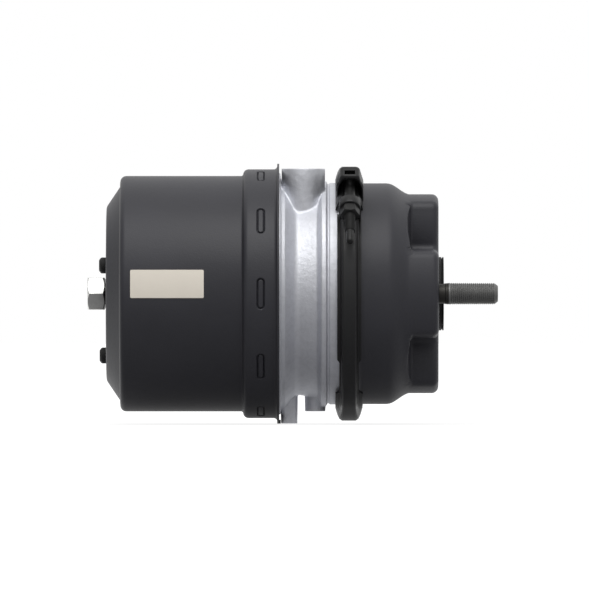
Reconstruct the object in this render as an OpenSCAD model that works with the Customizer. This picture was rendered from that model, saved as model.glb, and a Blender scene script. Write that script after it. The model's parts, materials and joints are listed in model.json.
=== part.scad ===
// Spring brake chamber for an air disc brake: a spring chamber and a service chamber back to back.
// The cylinder axis is X, and +X is the way the push rod leaves. The mounting face is the plane x = 0.

/* [Mounting face] */
// Distance between the axes of the two mounting studs
stud_pitch = 120.65; // [118:0.05:121]
// Outer diameter of a mounting stud's thread
stud_d = 16; // [14:0.5:18]
// Length of a stud beyond the mounting face
stud_len = 44; // [30:1:60]
// Diameter of the plain neck of a stud
stud_neck_d = 14; // [12:0.5:14]
// Length of the plain neck beyond the mounting face
stud_neck_len = 7.5; // [3:0.5:15]
// Diameter of the rubber seal that stands on the mounting face
seal_d = 55; // [52:0.5:60]
// Height of the seal above the mounting face
seal_h = 4; // [2:0.5:6]

/* [Service housing] */
// Length from the mounting face to the middle of the clamp ring
service_len = 66.5; // [64:0.5:72]
// Height of the housing's rim above its wall
rim_height = 4.7; // [4:0.1:6]
// Wall of the service housing
service_wall = 3; // [2:0.25:3.5]
// Distance from a stud's axis to the tip of its lobe
nose_edge = 14.275; // [13:0.025:16]
// Length of the lobes' straight part
nose_len = 20; // [16:1:24]
// Depth of the four pockets between the lobes
pocket_depth = 25.5; // [24.5:0.5:28]
// Width of a lobe
lobe_w = 64; // [60:1:68]
// Radius of a lobe's corners, seen along the cylinder axis
lobe_corner_r = 8; // [7:0.5:10]
// Radius of the lobes' front edges
lobe_edge_r = 5; // [4:0.5:6]
// Radius of the hollow between two lobes
lobe_fillet_r = 12; // [8:1:14]
// Length of the curve from the housing's full width to the nose
nose_curve_len = 19; // [15:1:21]

/* [Clamp ring] */
// Outer diameter of the clamp ring's crown
clamp_d = 184; // [183:0.5:188]
// Width of the clamp ring over its lips
clamp_w = 20.3; // [19.6:0.1:22]
// Sheet thickness of the clamp ring
clamp_t = 2.5; // [2:0.1:2.6]
// Distance from the ring's crown in to the edge of the rims that it holds together
rim_inset = 4.5; // [4:0.1:5]
// Angle of the ring's upper joint, from straight up towards the front
clamp_angle = 43.5; // [35:0.5:50]
// Height of a clamp bolt's axis above the ring's crown
clamp_bolt_rise = 7; // [6:0.5:10]
// Thread diameter of a clamp bolt
clamp_bolt_d = 8; // [6:0.5:8]
// Length of a clamp bolt's tail beyond its nut
clamp_tail = 14; // [8:1:24]
// Width across the flats of the clamp nuts and bolt heads
clamp_flats = 13; // [12:0.5:14]

/* [Flange casting] */
// Length from the middle of the clamp ring to the lip of the spring case
flange_len = 52.8; // [50:0.4:60]
// Step from the casting's rim down to the collar beside the clamp ring
collar_drop = 4.5; // [4:0.1:6]
// Depth of the valley round the casting, below the collar
valley_depth = 7.5; // [6:0.5:9]
// Height of the ridge beside the valley, above the collar
ridge_height = 1.3; // [0.5:0.1:2]
// Distance from the case's wide ring in to the edge of the casting's plate
plate_inset = 1.1; // [0.5:0.1:2]
// Thickness of the wall between the two chambers
web_t = 8; // [6:0.5:10]
// Diameter of an air port's boss
port_boss_d = 32.4; // [30:0.4:34]
// Height of the port bosses' faces above the cylinder axis
port_top = 93.5; // [91:0.5:98]
// Distance between the axes of the two air ports
port_spacing = 60; // [54:1:62]
// Diameter of a port's threaded hole
port_d = 14.5; // [12:0.5:15]
// Depth of a port's threaded hole
port_depth = 14; // [10:0.5:16]

/* [Spring case] */
// Wall of the spring case
case_wall = 3; // [2.5:0.25:3.5]
// Length of the spring case from its lip to its flat end
case_len = 129.4; // [127:0.2:140]
// Outer diameter of the wide ring at its open end
ring_d = 186.6; // [186:0.2:190]
// Length of the wide ring
ring_len = 27; // [25:0.5:32]
// Step from the case's wall out to the wide ring
ring_step = 5; // [4:0.1:6]
// Height of the lip above the wide ring
lip_height = 4.2; // [3:0.1:6]
// Thickness of the lip
lip_t = 1.5; // [1:0.25:2.5]
// Diameter of the flat end
end_d = 130; // [128:1:136]
// Length of the cone between the flat end and the shoulder
end_cone_len = 10.3; // [8:0.1:12]
// Number of staked slots round the wide ring
slot_count = 10; // [6:1:12]
// Width of a slot along the axis
slot_w = 5.9; // [4:0.1:8]
// Length of a slot round the ring
slot_len = 23.2; // [16:0.2:26]
// Depth of a slot
slot_depth = 1.6; // [1:0.1:1.8]

/* [Release bolt] */
// Diameter of the release bolt's spindle
spindle_d = 16; // [14:0.5:17]
// Width across the flats of the release bolt's head
head_flats = 24; // [22:0.5:26]
// Length of the release bolt's head
head_len = 13; // [10:0.5:16]
// Travel of the release bolt before its nut reaches a piston at full stroke
idle_travel = 30; // [20:1:34]

/* [Piston and push rod] */
// Working stroke
stroke = 57; // [50:1:58]
// Outer diameter of the piston's tube
tube_d = 40; // [39:0.5:42]
// Wall of the piston's tube
tube_wall = 3.5; // [3:0.25:4]
// Thickness of the piston's crown
crown_t = 7; // [5:0.5:8]
// Length of the piston's skirt
skirt_len = 42; // [40:0.5:46]
// Wire diameter of the power spring
power_wire_d = 12; // [10:0.5:12.5]
// Wire diameter of the return spring
return_wire_d = 5; // [4:0.25:5.5]
// Thickness of the diaphragm
diaphragm_t = 3.2; // [2.6:0.2:3.6]
// Diameter of the push plate
push_plate_d = 104; // [96:1:106]
// Diameter of the push rod
rod_d = 22; // [18:0.5:24]

/* [Hidden] */
$fn = 96;
fit = 0.1;
seat_gap = 0.3;
eps = 0.01;
painted = [0.16, 0.16, 0.17];
clamp_black = [0.09, 0.09, 0.09];
cast_grey = [0.72, 0.73, 0.76];
rubber_black = [0.06, 0.06, 0.06];
zinc = [0.62, 0.63, 0.62];
steel = [0.5, 0.51, 0.52];

// Radii
clamp_r = clamp_d / 2;
clamp_bolt_r = clamp_r + clamp_bolt_rise;
rim_r = clamp_r - rim_inset;
service_r = rim_r - rim_height;
nose_r = stud_pitch / 2 + nose_edge;
nose_foot_r = nose_r - 0.25;
collar_r = rim_r - collar_drop;
ridge_r = collar_r + ridge_height;
valley_r = collar_r - valley_depth;
ring_r = ring_d / 2;
ring_bore_r = ring_r - case_wall;
plate_r = ring_r - plate_inset;
lip_r = ring_r + lip_height;
case_r = ring_r - ring_step;
case_bore_r = case_r - case_wall;
end_r = end_d / 2;
shoulder_r = case_r - 8;
spindle_r = spindle_d / 2;
tube_r = tube_d / 2;
tube_bore_r = tube_r - tube_wall;
stud_r = stud_d / 2;
stud_neck_r = stud_neck_d / 2;
stud_shank_r = stud_r + 0.5;
seal_r = seal_d / 2;
rod_r = rod_d / 2;
push_plate_r = push_plate_d / 2;
port_boss_r = port_boss_d / 2;
port_r = port_d / 2;
clamp_bolt_bore_r = clamp_bolt_d / 2;

// Places along the axis, from the mounting face backwards
x_clamp = -service_len;
x_plate = x_clamp - flange_len;
x_ring = x_plate - ring_len;
x_end = x_plate - case_len;
x_end_inside = x_end + case_wall;
x_shoulder = x_end + end_cone_len;

// Clamp ring section, as half widths from its middle plane
rim_half_w = 4.2;
rim_foot_half_w = 7;
crown_half_w = 3.6;
shoulder_half_w = 6;
shoulder_drop = 1.5;
lip_foot_half_w = 8.7;
lip_inside_r = max(service_r, collar_r) + 1.2;
x_rim_rear = x_clamp - diaphragm_t / 2;
x_rim_front = x_clamp + diaphragm_t / 2;

// Flange casting
spigot_r = ring_bore_r - fit;
spigot_bore_r = case_bore_r + 0.2;
x_spigot = x_ring + case_wall + seat_gap;
x_web_rear = x_plate + 2;
x_web_front = x_web_rear + web_t;
hub_r = 32;
x_hub_rear = x_web_rear - 12;
x_hub_front = x_web_front + 3;
x_valley_rear = x_plate + 14.3;
x_valley_front = x_clamp - 24;
x_ridge_front = x_clamp - 17.5;
bowl_mouth_r = rim_r - 11;
bowl_depth_r = valley_r - 6.5;
x_port = x_plate + 18.1;
passage_r = 3.5;
passage_z = 70;
o_ring_w = 4.4;
o_ring_depth = 3;
x_o_ring = x_plate - 19;
bush_len = 8;
tube_seal_w = 4;
tube_seal_depth = 4.5;
x_tube_seals = [x_hub_rear + 2.5, x_hub_front - 2.5 - tube_seal_w];
x_tube_bush = (x_hub_rear + x_hub_front - bush_len) / 2;
blank_boss_gap = 7.7;
blank_boss_spacing = 19;
x_blank_bosses = [x_plate + blank_boss_gap, x_plate + blank_boss_gap + blank_boss_spacing];
blank_boss_r = [6.4, 7.6];
blank_boss_low = [-lip_r, -lip_r + 9.3];

// Diaphragm and push plate
x_bowl = x_web_front + 6;
diaphragm_wall = diaphragm_t - 0.2;
x_push_plate = x_bowl + diaphragm_wall + seat_gap;
push_plate_t = 3.5;
x_rod_tip = 3.5;
stud_plate_t = 4;
x_stud_plate = -service_wall - stud_plate_t;
stud_plate_r = seal_r + 16;
stud_plate_end_r = nose_edge - service_wall - seat_gap;
stud_head_r = stud_plate_end_r - 0.2;
seal_clip_t = 2.2;
seal_clip_r = seal_r + 2.2;
seal_bore_r = seal_r - 7;

// Piston, tube and pad
x_crown = x_web_rear - 1.5 - stroke;
piston_r = case_bore_r - 0.6;
x_skirt = x_crown - skirt_len;
skirt_t = 7.5;
recess_r = hub_r + 4;
recess_depth = x_web_rear - x_hub_rear + 1;
recess_wall = 7;
sleeve_r = tube_r + 7;
sleeve_len = 16;
seal_groove_w = 6;
seal_groove_d = 5;
guide_groove_w = 8;
guide_groove_d = 2.5;
x_seal_groove = x_skirt + 3;
x_guide_groove = x_seal_groove + seal_groove_w + 4;
pad_t = 6;
x_pad = x_bowl - seat_gap - pad_t;
x_tube_rear = x_end_inside + 22;

// Release gear
bush_r = 11;
bush_body_r = 15;
bush_body_len = 17;
bush_proud = 1;
x_head = x_end - bush_proud - seat_gap;
clip_t = 1.5;
catch_t = 4;
x_catch = x_tube_rear + 1 + clip_t;
catch_nut_len = 11;
washer_t = 2.5;
x_washer = x_catch + catch_t + stroke + idle_travel;
x_catch_nut = x_washer + washer_t + seat_gap;
catch_pin_r = 2;
seat_t = 2.5;
x_power_rear = x_end_inside + seat_t;
x_power_front = x_crown - crown_t;
power_turns = 3.7;
power_end_r = 56;
power_belly = 8;
vent_ring_r = 46.5;
vent_angles = [153, 265];
vent_head_r = 6;
vent_head_h = 5.2;
vent_stem_r = 3.2;
return_turns = 5;
return_rear_r = push_plate_r - 8;
return_front_r = 40;

// Points of an arc about (cx, cy), from angle a to angle b
function arc(cx, cy, r, a, b, n = 6) =
    [for (i = [0 : n]) [cx + r * cos(a + (b - a) * i / n), cy + r * sin(a + (b - a) * i / n)]];

// Turns a closed outline of [x, radius] points about the X axis
module spin(outline) {
    rotate([0, 90, 0]) rotate_extrude() polygon([for (p = outline) [p[1], p[0]]]);
}

// Turns an outline as spin() does, from angle a to angle b, measured from straight up towards the front
module band(outline, a, b) {
    rotate([a, 0, 0]) rotate([0, 90, 0]) rotate([0, 0, 180]) rotate_extrude(angle = b - a)
        polygon([for (p = outline) [p[1], p[0]]]);
}

// A round bar on the X axis
module bar(x0, x1, r) {
    translate([x0, 0, 0]) rotate([0, 90, 0]) cylinder(h = x1 - x0, r = r);
}

// A ring on the X axis
module ring(x0, x1, r_in, r_out) {
    spin([[x0, r_in], [x1, r_in], [x1, r_out], [x0, r_out]]);
}

// A hexagonal prism on the X axis with both ends chamfered and one corner towards the front
module hex_x(x0, x1, flats, chamfer) {
    corner = flats / sqrt(3);
    intersection() {
        translate([x0, 0, 0]) rotate([0, 90, 0]) rotate([0, 0, 30])
            cylinder(h = x1 - x0, r = corner, $fn = 6);
        spin([
            [x0, 0], [x0, corner - 2 * chamfer], [x0 + chamfer, corner], [x1 - chamfer, corner],
            [x1, corner - 2 * chamfer], [x1, 0]
        ]);
    }
}

// Helical wire about the X axis; mean_r(t) is given by its two ends and a belly in the middle
module coil(x0, x1, turns, wire_r, r0, r1, belly, sides = 10, per_turn = 20) {
    rings = ceil(turns * per_turn);
    length = x1 - x0 - 2 * wire_r;
    points = [for (i = [0 : rings]) let (
        t = i / rings,
        a = 360 * turns * t,
        mean = r0 + (r1 - r0) * t + belly * sin(180 * t)
    ) for (k = [0 : sides - 1]) let (
        b = 360 * k / sides,
        r = mean + wire_r * cos(b)
    ) [x0 + wire_r + length * t + wire_r * sin(b), r * cos(a), r * sin(a)]];
    walls = [for (i = [0 : rings - 1], k = [0 : sides - 1]) let (
        m = (k + 1) % sides,
        p = i * sides,
        q = p + sides
    ) [p + k, p + m, q + m, q + k]];
    first = [for (k = [sides - 1 : -1 : 0]) k];
    last = [for (k = [0 : sides - 1]) rings * sides + k];
    polyhedron(points, concat([first], walls, [last]));
}

// Spring case: a deep pressed can with a wide ring, a lip and staked slots
module spring_case() {
    edge_r = 3;
    ring_edge_r = 4;
    foot_r = 1.5;
    lip_foot_r = 2.5;
    cone_inset = 1;
    tab_w = 8;
    tab_len = 1.2;
    cone_angle = atan2(shoulder_r - end_r, x_shoulder - x_end);
    end_edge_r = 6;
    set_back = end_edge_r * tan((90 - cone_angle) / 2);
    outside = concat(
        [[x_end, 0]],
        arc(x_end + end_edge_r, end_r - set_back, end_edge_r, 180, 90 + cone_angle, 4),
        [[x_shoulder, shoulder_r]],
        arc(x_shoulder + edge_r, case_r - edge_r, edge_r, 180, 90),
        arc(x_ring - foot_r, case_r + foot_r, foot_r, 270, 360, 3),
        arc(x_ring + ring_edge_r, ring_r - ring_edge_r, ring_edge_r, 180, 90),
        arc(x_plate - lip_t - lip_foot_r, ring_r + lip_foot_r, lip_foot_r, 270, 360, 4),
        [[x_plate - lip_t, lip_r], [x_plate, lip_r]]
    );
    inside = [
        [x_plate, ring_bore_r], [x_ring + case_wall, ring_bore_r], [x_ring + case_wall, case_bore_r],
        [x_shoulder + case_wall, case_bore_r], [x_shoulder + case_wall, shoulder_r - cone_inset],
        [x_end_inside, end_r - cone_inset], [x_end_inside, 0]
    ];
    color(painted) {
        difference() {
            spin(concat(outside, inside));
            bar(x_end - 1, x_end_inside + 1, bush_r + fit);
            for (a = vent_angles) vent_place(a) bar(x_end - 1, x_end_inside + 1, vent_stem_r + fit);
            for (i = [0 : slot_count - 1]) rotate([i * 360 / slot_count, 0, 0]) slot_cut();
        }
        translate([x_plate - eps, -tab_w / 2, -lip_r + 0.2]) cube([tab_len + eps, tab_w, 2]);
    }
}

// Moves a part from the axis to a vent hole at angle a in the flat end
module vent_place(a) {
    translate([0, vent_ring_r * cos(a), vent_ring_r * sin(a)]) children();
}

// One slot with round ends, cut from the front of the wide ring
module slot_cut() {
    straight = slot_len - slot_w;
    translate([x_ring + ring_len / 2 - 0.2, -ring_r - 2, 0]) rotate([-90, 0, 0])
        linear_extrude(2 + slot_depth) {
            square([slot_w, straight], center = true);
            for (s = [-1, 1]) translate([0, s * straight / 2]) circle(slot_w / 2);
        }
}

// Threaded bush in the middle of the flat end, which the release bolt screws through
module release_bush() {
    bore_r = spindle_r + fit;
    color(steel) spin([
        [x_end - bush_proud, bore_r], [x_end - bush_proud, bush_r], [x_end_inside, bush_r],
        [x_end_inside, bush_body_r], [x_end_inside + bush_body_len, bush_body_r],
        [x_end_inside + bush_body_len, bore_r]
    ]);
}

// Vent plugs: domed heads outside, stems in the flat end's holes
module vent_plugs() {
    dome_r = 3;
    color(rubber_black) for (a = vent_angles) vent_place(a) spin(concat(
        [[x_end_inside, 0], [x_end_inside, vent_stem_r], [x_end, vent_stem_r], [x_end, vent_head_r]],
        arc(x_end - vent_head_h + dome_r, vent_head_r - dome_r, dome_r, 90, 180),
        [[x_end - vent_head_h, 0]]
    ));
}

// Blank label on the front of the spring case
module label_plate() {
    label_t = 0.3;
    label_len = 54.8;
    label_low = -2.1;
    label_high = 11.6;
    x_label = x_shoulder + 8.2;
    color([0.85, 0.82, 0.77]) band([
        [x_label, case_r], [x_label + label_len, case_r], [x_label + label_len, case_r + label_t],
        [x_label, case_r + label_t]
    ], 90 - label_high, 90 - label_low);
}

// Ring that centres the power spring on the flat end
module spring_seat() {
    color(steel) ring(x_end_inside, x_power_rear, vent_ring_r + vent_stem_r + 0.5, end_r - 2);
}

module power_spring() {
    color(zinc) coil(
        x_power_rear + fit, x_power_front - fit, power_turns, power_wire_d / 2, power_end_r, power_end_r,
        power_belly
    );
}

// Casting between the chambers, with two threaded air ports and two blank bosses
module flange_casting() {
    color(cast_grey) difference() {
        union() {
            spin(casting_outside());
            for (s = [-1, 1]) translate([x_port, s * port_spacing / 2, valley_r / 2])
                cylinder(h = port_top - valley_r / 2, r = port_boss_r);
            for (i = [0, 1]) translate([x_blank_bosses[i], 0, blank_boss_low[i]])
                cylinder(h = -blank_boss_low[i] - valley_r + 12, r1 = blank_boss_r[i], r2 = blank_boss_r[i] + 0.6);
        }
        spin([
            [x_spigot - 1, 0], [x_hub_rear, 0], [x_hub_rear, hub_r], [x_web_rear, hub_r],
            [x_web_rear, spigot_bore_r - 1.5], [x_web_rear - 1.5, spigot_bore_r], [x_spigot - 1, spigot_bore_r]
        ]);
        spin(casting_bowl());
        bar(x_hub_rear - 1, x_hub_front + 1, tube_r + 0.4);
        for (x = x_tube_seals) bar(x, x + tube_seal_w, tube_r + tube_seal_depth);
        bar(x_tube_bush, x_tube_bush + bush_len, tube_r + 2.5);
        for (s = [-1, 1]) port_cut(s);
    }
}

// Outline of the casting's outside, closed along the axis
function casting_outside() = [
    [x_spigot, 0], [x_spigot, spigot_r - 1], [x_spigot + 1, spigot_r], [x_o_ring, spigot_r],
    [x_o_ring, spigot_r - o_ring_depth], [x_o_ring + o_ring_w, spigot_r - o_ring_depth],
    [x_o_ring + o_ring_w, spigot_r], [x_plate, spigot_r], [x_plate, plate_r], [x_plate + 2, plate_r],
    [x_plate + 2.6, plate_r - 2.5], [x_valley_rear - 1.2, valley_r + 1.2], [x_valley_rear, valley_r],
    [x_valley_front, valley_r], [x_valley_front + 2.2, ridge_r - 1.8], [x_valley_front + 3.3, ridge_r],
    [x_ridge_front, ridge_r], [x_ridge_front + 1.2, collar_r - 1.5], [x_ridge_front + 2.8, collar_r - 1.5],
    [x_ridge_front + 3.8, collar_r], [x_clamp - rim_foot_half_w, collar_r], [x_clamp - rim_half_w, rim_r],
    [x_rim_rear, rim_r], [x_rim_rear, 0]
];

// Outline of the bowl that the diaphragm lies in, round the front of the hub
function casting_bowl() = [
    [x_rim_rear + 1, 0], [x_rim_rear + 1, bowl_mouth_r], [x_clamp - 18, bowl_mouth_r - 1.5],
    [x_valley_front, bowl_depth_r], [x_bowl - 2, bowl_depth_r - 3], [x_web_front, bowl_depth_r - 12],
    [x_web_front, hub_r], [x_hub_front, hub_r], [x_hub_front, 0]
];

// One air port: the threaded hole, and the passage to its chamber
module port_cut(side) {
    y = side * port_spacing / 2;
    translate([x_port, y, port_top - port_depth]) cylinder(h = port_depth + 1, r = port_r);
    if (side < 0) {
        translate([x_port, y, passage_z - passage_r]) cylinder(h = port_top - passage_z, r = passage_r);
        translate([x_web_rear - 1, y, passage_z]) rotate([0, 90, 0])
            cylinder(h = x_port - x_web_rear + 1, r = passage_r);
    } else {
        translate([x_port, y, valley_r / 2]) cylinder(h = port_top - valley_r / 2 - 1, r = passage_r);
    }
}

// Ring seal in the casting's groove, pressed flat by the spring case
module case_o_ring() {
    squash_r = (o_ring_depth - fit) / 2;
    x0 = x_o_ring + fit + squash_r;
    x1 = x_o_ring + o_ring_w - fit - squash_r;
    mean_r = spigot_r - o_ring_depth / 2;
    rear = arc(x0, mean_r, squash_r, 90, 270, 8);
    front = arc(x1, mean_r, squash_r, 270, 450, 8);
    color(rubber_black) spin(concat(rear, front));
}

module tube_bush() {
    color([0.75, 0.6, 0.3]) ring(x_tube_bush, x_tube_bush + bush_len, tube_r + fit, tube_r + 2.5);
}

// Two lip seals in the casting's hub
module tube_seals() {
    color(rubber_black) for (x = x_tube_seals) spin([
        [x, tube_r + fit], [x + 1.4, tube_r + 1.2], [x + tube_seal_w, tube_r + fit],
        [x + tube_seal_w, tube_r + tube_seal_depth], [x, tube_r + tube_seal_depth]
    ]);
}

// Diaphragm: a flat bead between the rims, and a wall that hangs back into the casting's bowl
module diaphragm() {
    t = diaphragm_wall;
    foot_r = push_plate_r + 1;
    wall_r = bowl_depth_r - 6;
    color(rubber_black) spin([
        [x_rim_rear, rim_r - fit], [x_rim_front, rim_r - fit], [x_rim_front, wall_r + 5],
        [x_rim_front - 2, wall_r + 1], [x_bowl + t + 3, foot_r + 1], [x_bowl + t, foot_r - 2], [x_bowl + t, 0],
        [x_bowl, 0], [x_bowl, foot_r], [x_bowl + 2, foot_r + t], [x_rim_rear - 3, wall_r + t + 1],
        [x_rim_rear, wall_r + t + 5]
    ]);
}

// Outline of the nose inset by d, as [y, z] points: four lobes with round corners, joined by hollows
function nose_outline(d, nose_r = nose_r) = let (
    w = lobe_w / 2,
    c = lobe_corner_r,
    f = lobe_fillet_r,
    cy = w - c,
    cz = sqrt(pow(nose_r - c, 2) - pow(cy, 2)),
    spread = atan2(cy, cz),
    n = 8,
    lobe = concat(
        arc(cz, -cy, c - d, -90, -spread, 4),
        [for (i = [1 : n - 1]) let (a = spread * (2 * i / n - 1)) (nose_r - d) * [cos(a), sin(a)]],
        arc(cz, cy, c - d, spread, 90, 4),
        arc(w + f, w + f, f + d, 270, 180, 7)
    )
) [for (k = [0 : 3], p = lobe) [p[0] * cos(90 * k) - p[1] * sin(90 * k), p[0] * sin(90 * k) + p[1] * cos(90 * k)]];

// The nose with its front edge rounded, as a stack of outlines from x0 to just behind the mounting face
module nose_block(x0) {
    steps = 5;
    stack = concat(
        [[x0, 0]],
        [for (i = [0 : steps]) let (a = 90 * i / steps)
            [lobe_edge_r * (sin(a) - 1) - 0.05, lobe_edge_r * (1 - cos(a))]]
    );
    sides = len(nose_outline(0));
    last = (steps + 1) * sides;
    rings = [for (s = stack, p = nose_outline(s[1])) [s[0], p[0], p[1]]];
    centres = [[x0, 0, 0], [-0.05, 1.7, 0.9]];
    walls = [for (i = [0 : steps], k = [0 : sides - 1]) let (m = (k + 1) % sides, p = i * sides, q = p + sides)
        [p + k, q + k, q + m, p + m]];
    caps = [for (k = [0 : sides - 1]) let (m = (k + 1) % sides)
        each [[k, m, last + sides], [last + m, last + k, last + sides + 1]]];
    polyhedron(concat(rings, centres), concat(walls, caps));
}

// Height of the curve from the full width to the nose, t from 0 to 1
function nose_curve(t) = nose_foot_r + (service_r - nose_foot_r) * (1 + cos(180 * t)) / 2;

// Service housing: a pressed can whose nose is a cross of four lobes
module service_housing() {
    x_nose = -nose_len;
    x_curve = x_nose - nose_curve_len;
    n = 8;
    floor_edge_r = 4;
    floor_edge_a = 57;
    x_floor_edge = -pocket_depth - floor_edge_r;
    floor_t = (x_floor_edge + floor_edge_r * cos(floor_edge_a) - x_curve) / nose_curve_len;
    floor_r = nose_curve(floor_t) - floor_edge_r * sin(floor_edge_a) - 0.3;
    inside_r = service_r - service_wall;
    bead_step = 3;
    color(painted) difference() {
        union() {
            spin(concat(
                [
                    [x_rim_front, 0], [x_rim_front, rim_r], [x_clamp + rim_half_w, rim_r],
                    [x_clamp + rim_foot_half_w, service_r]
                ],
                [for (i = [0 : n]) if (i / n < floor_t) [x_curve + nose_curve_len * i / n, nose_curve(i / n)]],
                arc(x_floor_edge, floor_r, floor_edge_r, floor_edge_a, 0, 5),
                [[-pocket_depth, 0]]
            ));
            intersection() {
                spin(concat(
                    [[x_curve, 0]],
                    [for (i = [0 : n]) [x_curve + nose_curve_len * i / n, nose_curve(i / n)]],
                    [[x_nose, 0]]
                ));
                nose_extrude(x_curve + 1, x_nose + 1, 0, service_r + 5);
            }
            nose_block(x_nose - service_wall - 1.5);
            nose_extrude(-1, 0, lobe_edge_r + 0.2);
        }
        spin(concat(
            [
                [x_rim_front - 1, 0], [x_rim_front - 1, inside_r - bead_step],
                [x_clamp + rim_half_w, inside_r - bead_step], [x_clamp + rim_foot_half_w, inside_r]
            ],
            [for (i = [0 : n]) if (i / n < floor_t)
                [x_curve + nose_curve_len * i / n, nose_curve(i / n)] - service_wall * [0.5, 1]],
            arc(x_floor_edge, floor_r, floor_edge_r - service_wall, floor_edge_a, 0, 3),
            [[-pocket_depth - service_wall, 0]]
        ));
        nose_extrude(-pocket_depth - service_wall - 1, -service_wall, service_wall);
        bar(-service_wall - 1, 1, seal_r + fit);
        stud_places() bar(-service_wall - 1, 1, stud_shank_r + fit);
    }
}

// The nose's plain outline, inset by d, from x0 to x1; reach is the radius of its tips
module nose_extrude(x0, x1, d, reach = nose_r) {
    translate([x0, 0, 0]) rotate([90, 0, 90]) linear_extrude(x1 - x0) polygon(nose_outline(d, reach));
}

module stud_places() {
    for (s = [-1, 1]) translate([0, s * stud_pitch / 2, 0]) children();
}

// Plate inside the nose that carries the studs
module stud_plate() {
    color(steel) translate([x_stud_plate, 0, 0]) rotate([90, 0, 90]) linear_extrude(stud_plate_t) difference() {
        union() {
            circle(stud_plate_r);
            square([stud_pitch, 2 * stud_plate_end_r], center = true);
            for (s = [-1, 1]) translate([s * stud_pitch / 2, 0]) circle(stud_plate_end_r);
        }
        circle(seal_r + fit);
        for (s = [-1, 1]) translate([s * stud_pitch / 2, 0]) circle(stud_shank_r + fit);
    }
}

// Mounting studs: a round head inside, a shank pressed in the plates, a neck and a threaded end outside
module mounting_studs() {
    head_t = 6;
    chamfer = 1.6;
    color(steel) stud_places() spin([
        [x_stud_plate - head_t, 0], [x_stud_plate - head_t, stud_head_r], [x_stud_plate, stud_head_r],
        [x_stud_plate, stud_shank_r], [0, stud_shank_r], [0, stud_neck_r], [stud_neck_len, stud_neck_r],
        [stud_neck_len + 1, stud_r], [stud_len - chamfer, stud_r], [stud_len, stud_r - chamfer], [stud_len, 0]
    ]);
}

// Rubber seal that is clipped in the nose's hole and stands on the mounting face
module front_seal() {
    x_clip = x_stud_plate - seal_clip_t;
    color(rubber_black) spin([
        [x_clip, seal_bore_r], [x_clip, seal_clip_r], [x_stud_plate, seal_clip_r], [x_stud_plate, seal_r],
        [seal_h * 0.3, seal_r], [seal_h * 0.55, seal_r - 0.6], [seal_h * 0.6, seal_r - 1.6],
        [seal_h - 0.7, seal_r - 1.2], [seal_h - 0.6, seal_r], [seal_h, seal_r], [seal_h, seal_r - 5],
        [seal_h * 0.4, seal_bore_r]
    ]);
}

// Rubber bellows between the seal and the rod
boot_turns = 5;
boot_wall = 1.4;
x_boot_front = x_stud_plate - seal_clip_t - seat_gap;
boot_len = 38;
x_boot_rear = x_boot_front - boot_len;
boot_collar_len = 7;
module boot() {
    mouth_r = seal_bore_r + 1.5;
    neck_r = rod_r + 3.2;
    steps = boot_turns * 8;
    wave = [for (i = [0 : steps]) let (t = i / steps) [
        x_boot_front - 3 + (x_boot_rear - x_boot_front + 3) * t,
        mouth_r - 1 + (neck_r + 1 - mouth_r) * t + 1.5 * cos(360 * boot_turns * t)
    ]];
    color(rubber_black) spin(concat(
        [[x_boot_front, mouth_r - boot_wall], [x_boot_front, mouth_r + 0.8]],
        [for (p = wave) p + [0, boot_wall / 2]],
        [
            [x_boot_rear - 0.8, neck_r], [x_boot_rear - boot_collar_len, neck_r],
            [x_boot_rear - boot_collar_len, rod_r + 0.05], [x_boot_rear - 1, rod_r + 0.05]
        ],
        [for (i = [steps : -1 : 0]) wave[i] - [0, boot_wall / 2]]
    ));
}

// Wire clip that holds the boot's collar on the rod
module boot_clip() {
    neck_r = rod_r + 3.2;
    x_clip = x_boot_rear - boot_collar_len / 2;
    color(zinc) ring(x_clip - 1.2, x_clip + 1.2, neck_r + 0.3, neck_r + 1.6);
}

module return_spring() {
    color(zinc) coil(
        x_push_plate + push_plate_t + fit, x_stud_plate - fit, return_turns, return_wire_d / 2, return_rear_r,
        return_front_r, 0, 8, 20
    );
}

// Inner line of the clamp ring's section, which bears on the slopes of the two rims
function clamp_inner_line() = let (t = clamp_t, x = x_clamp, r = clamp_r) [
    [x + rim_foot_half_w + 0.1, lip_inside_r], [x + rim_half_w + 0.3, r - t - 1.2], [x + crown_half_w - 0.6, r - t],
    [x - crown_half_w + 0.6, r - t], [x - rim_half_w - 0.3, r - t - 1.2], [x - rim_foot_half_w - 0.1, lip_inside_r]
];

// Section of the clamp ring's crown and slopes
function clamp_section() = let (t = clamp_t, x = x_clamp, r = clamp_r) concat(
    [
        [x - lip_foot_half_w, lip_inside_r + t], [x - shoulder_half_w, r - shoulder_drop], [x - crown_half_w, r],
        [x + crown_half_w, r], [x + shoulder_half_w, r - shoulder_drop], [x + lip_foot_half_w, lip_inside_r + t],
        [x + lip_foot_half_w, lip_inside_r]
    ],
    clamp_inner_line(),
    [[x - lip_foot_half_w, lip_inside_r]]
);

// Angles are measured round X from straight up towards the front
module from_top(a) {
    rotate([a, 0, 0]) children();
}

// One half of the clamp ring: the band, its lips, a nut lug at one end and a hood at the other
module clamp_half() {
    nut_end = clamp_angle + 3.2;
    hood_end = clamp_angle + 179;
    x0 = x_clamp - clamp_w / 2;
    lip_in = lip_inside_r + 0.2;
    lip_out = lip_inside_r + clamp_t - 0.3;
    band(clamp_section(), nut_end, hood_end);
    x1 = x_clamp - rim_foot_half_w - 1;
    lip = [[x0, lip_in], [x1, lip_in], [x1, lip_out], [x0, lip_out]];
    for (s = [0, 1], ends = [[nut_end, nut_end + 79], [hood_end - 13, hood_end]])
        mirror_at(x_clamp, s) band(lip, ends[0], ends[1]);
    from_top(clamp_angle) nut_lug();
    from_top(clamp_angle + 180) hood();
}

// Mirrors its children in the plane x = place when on is 1
module mirror_at(place, on) {
    if (on == 1) translate([2 * place, 0, 0]) mirror([1, 0, 0]) children();
    else children();
}

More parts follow.
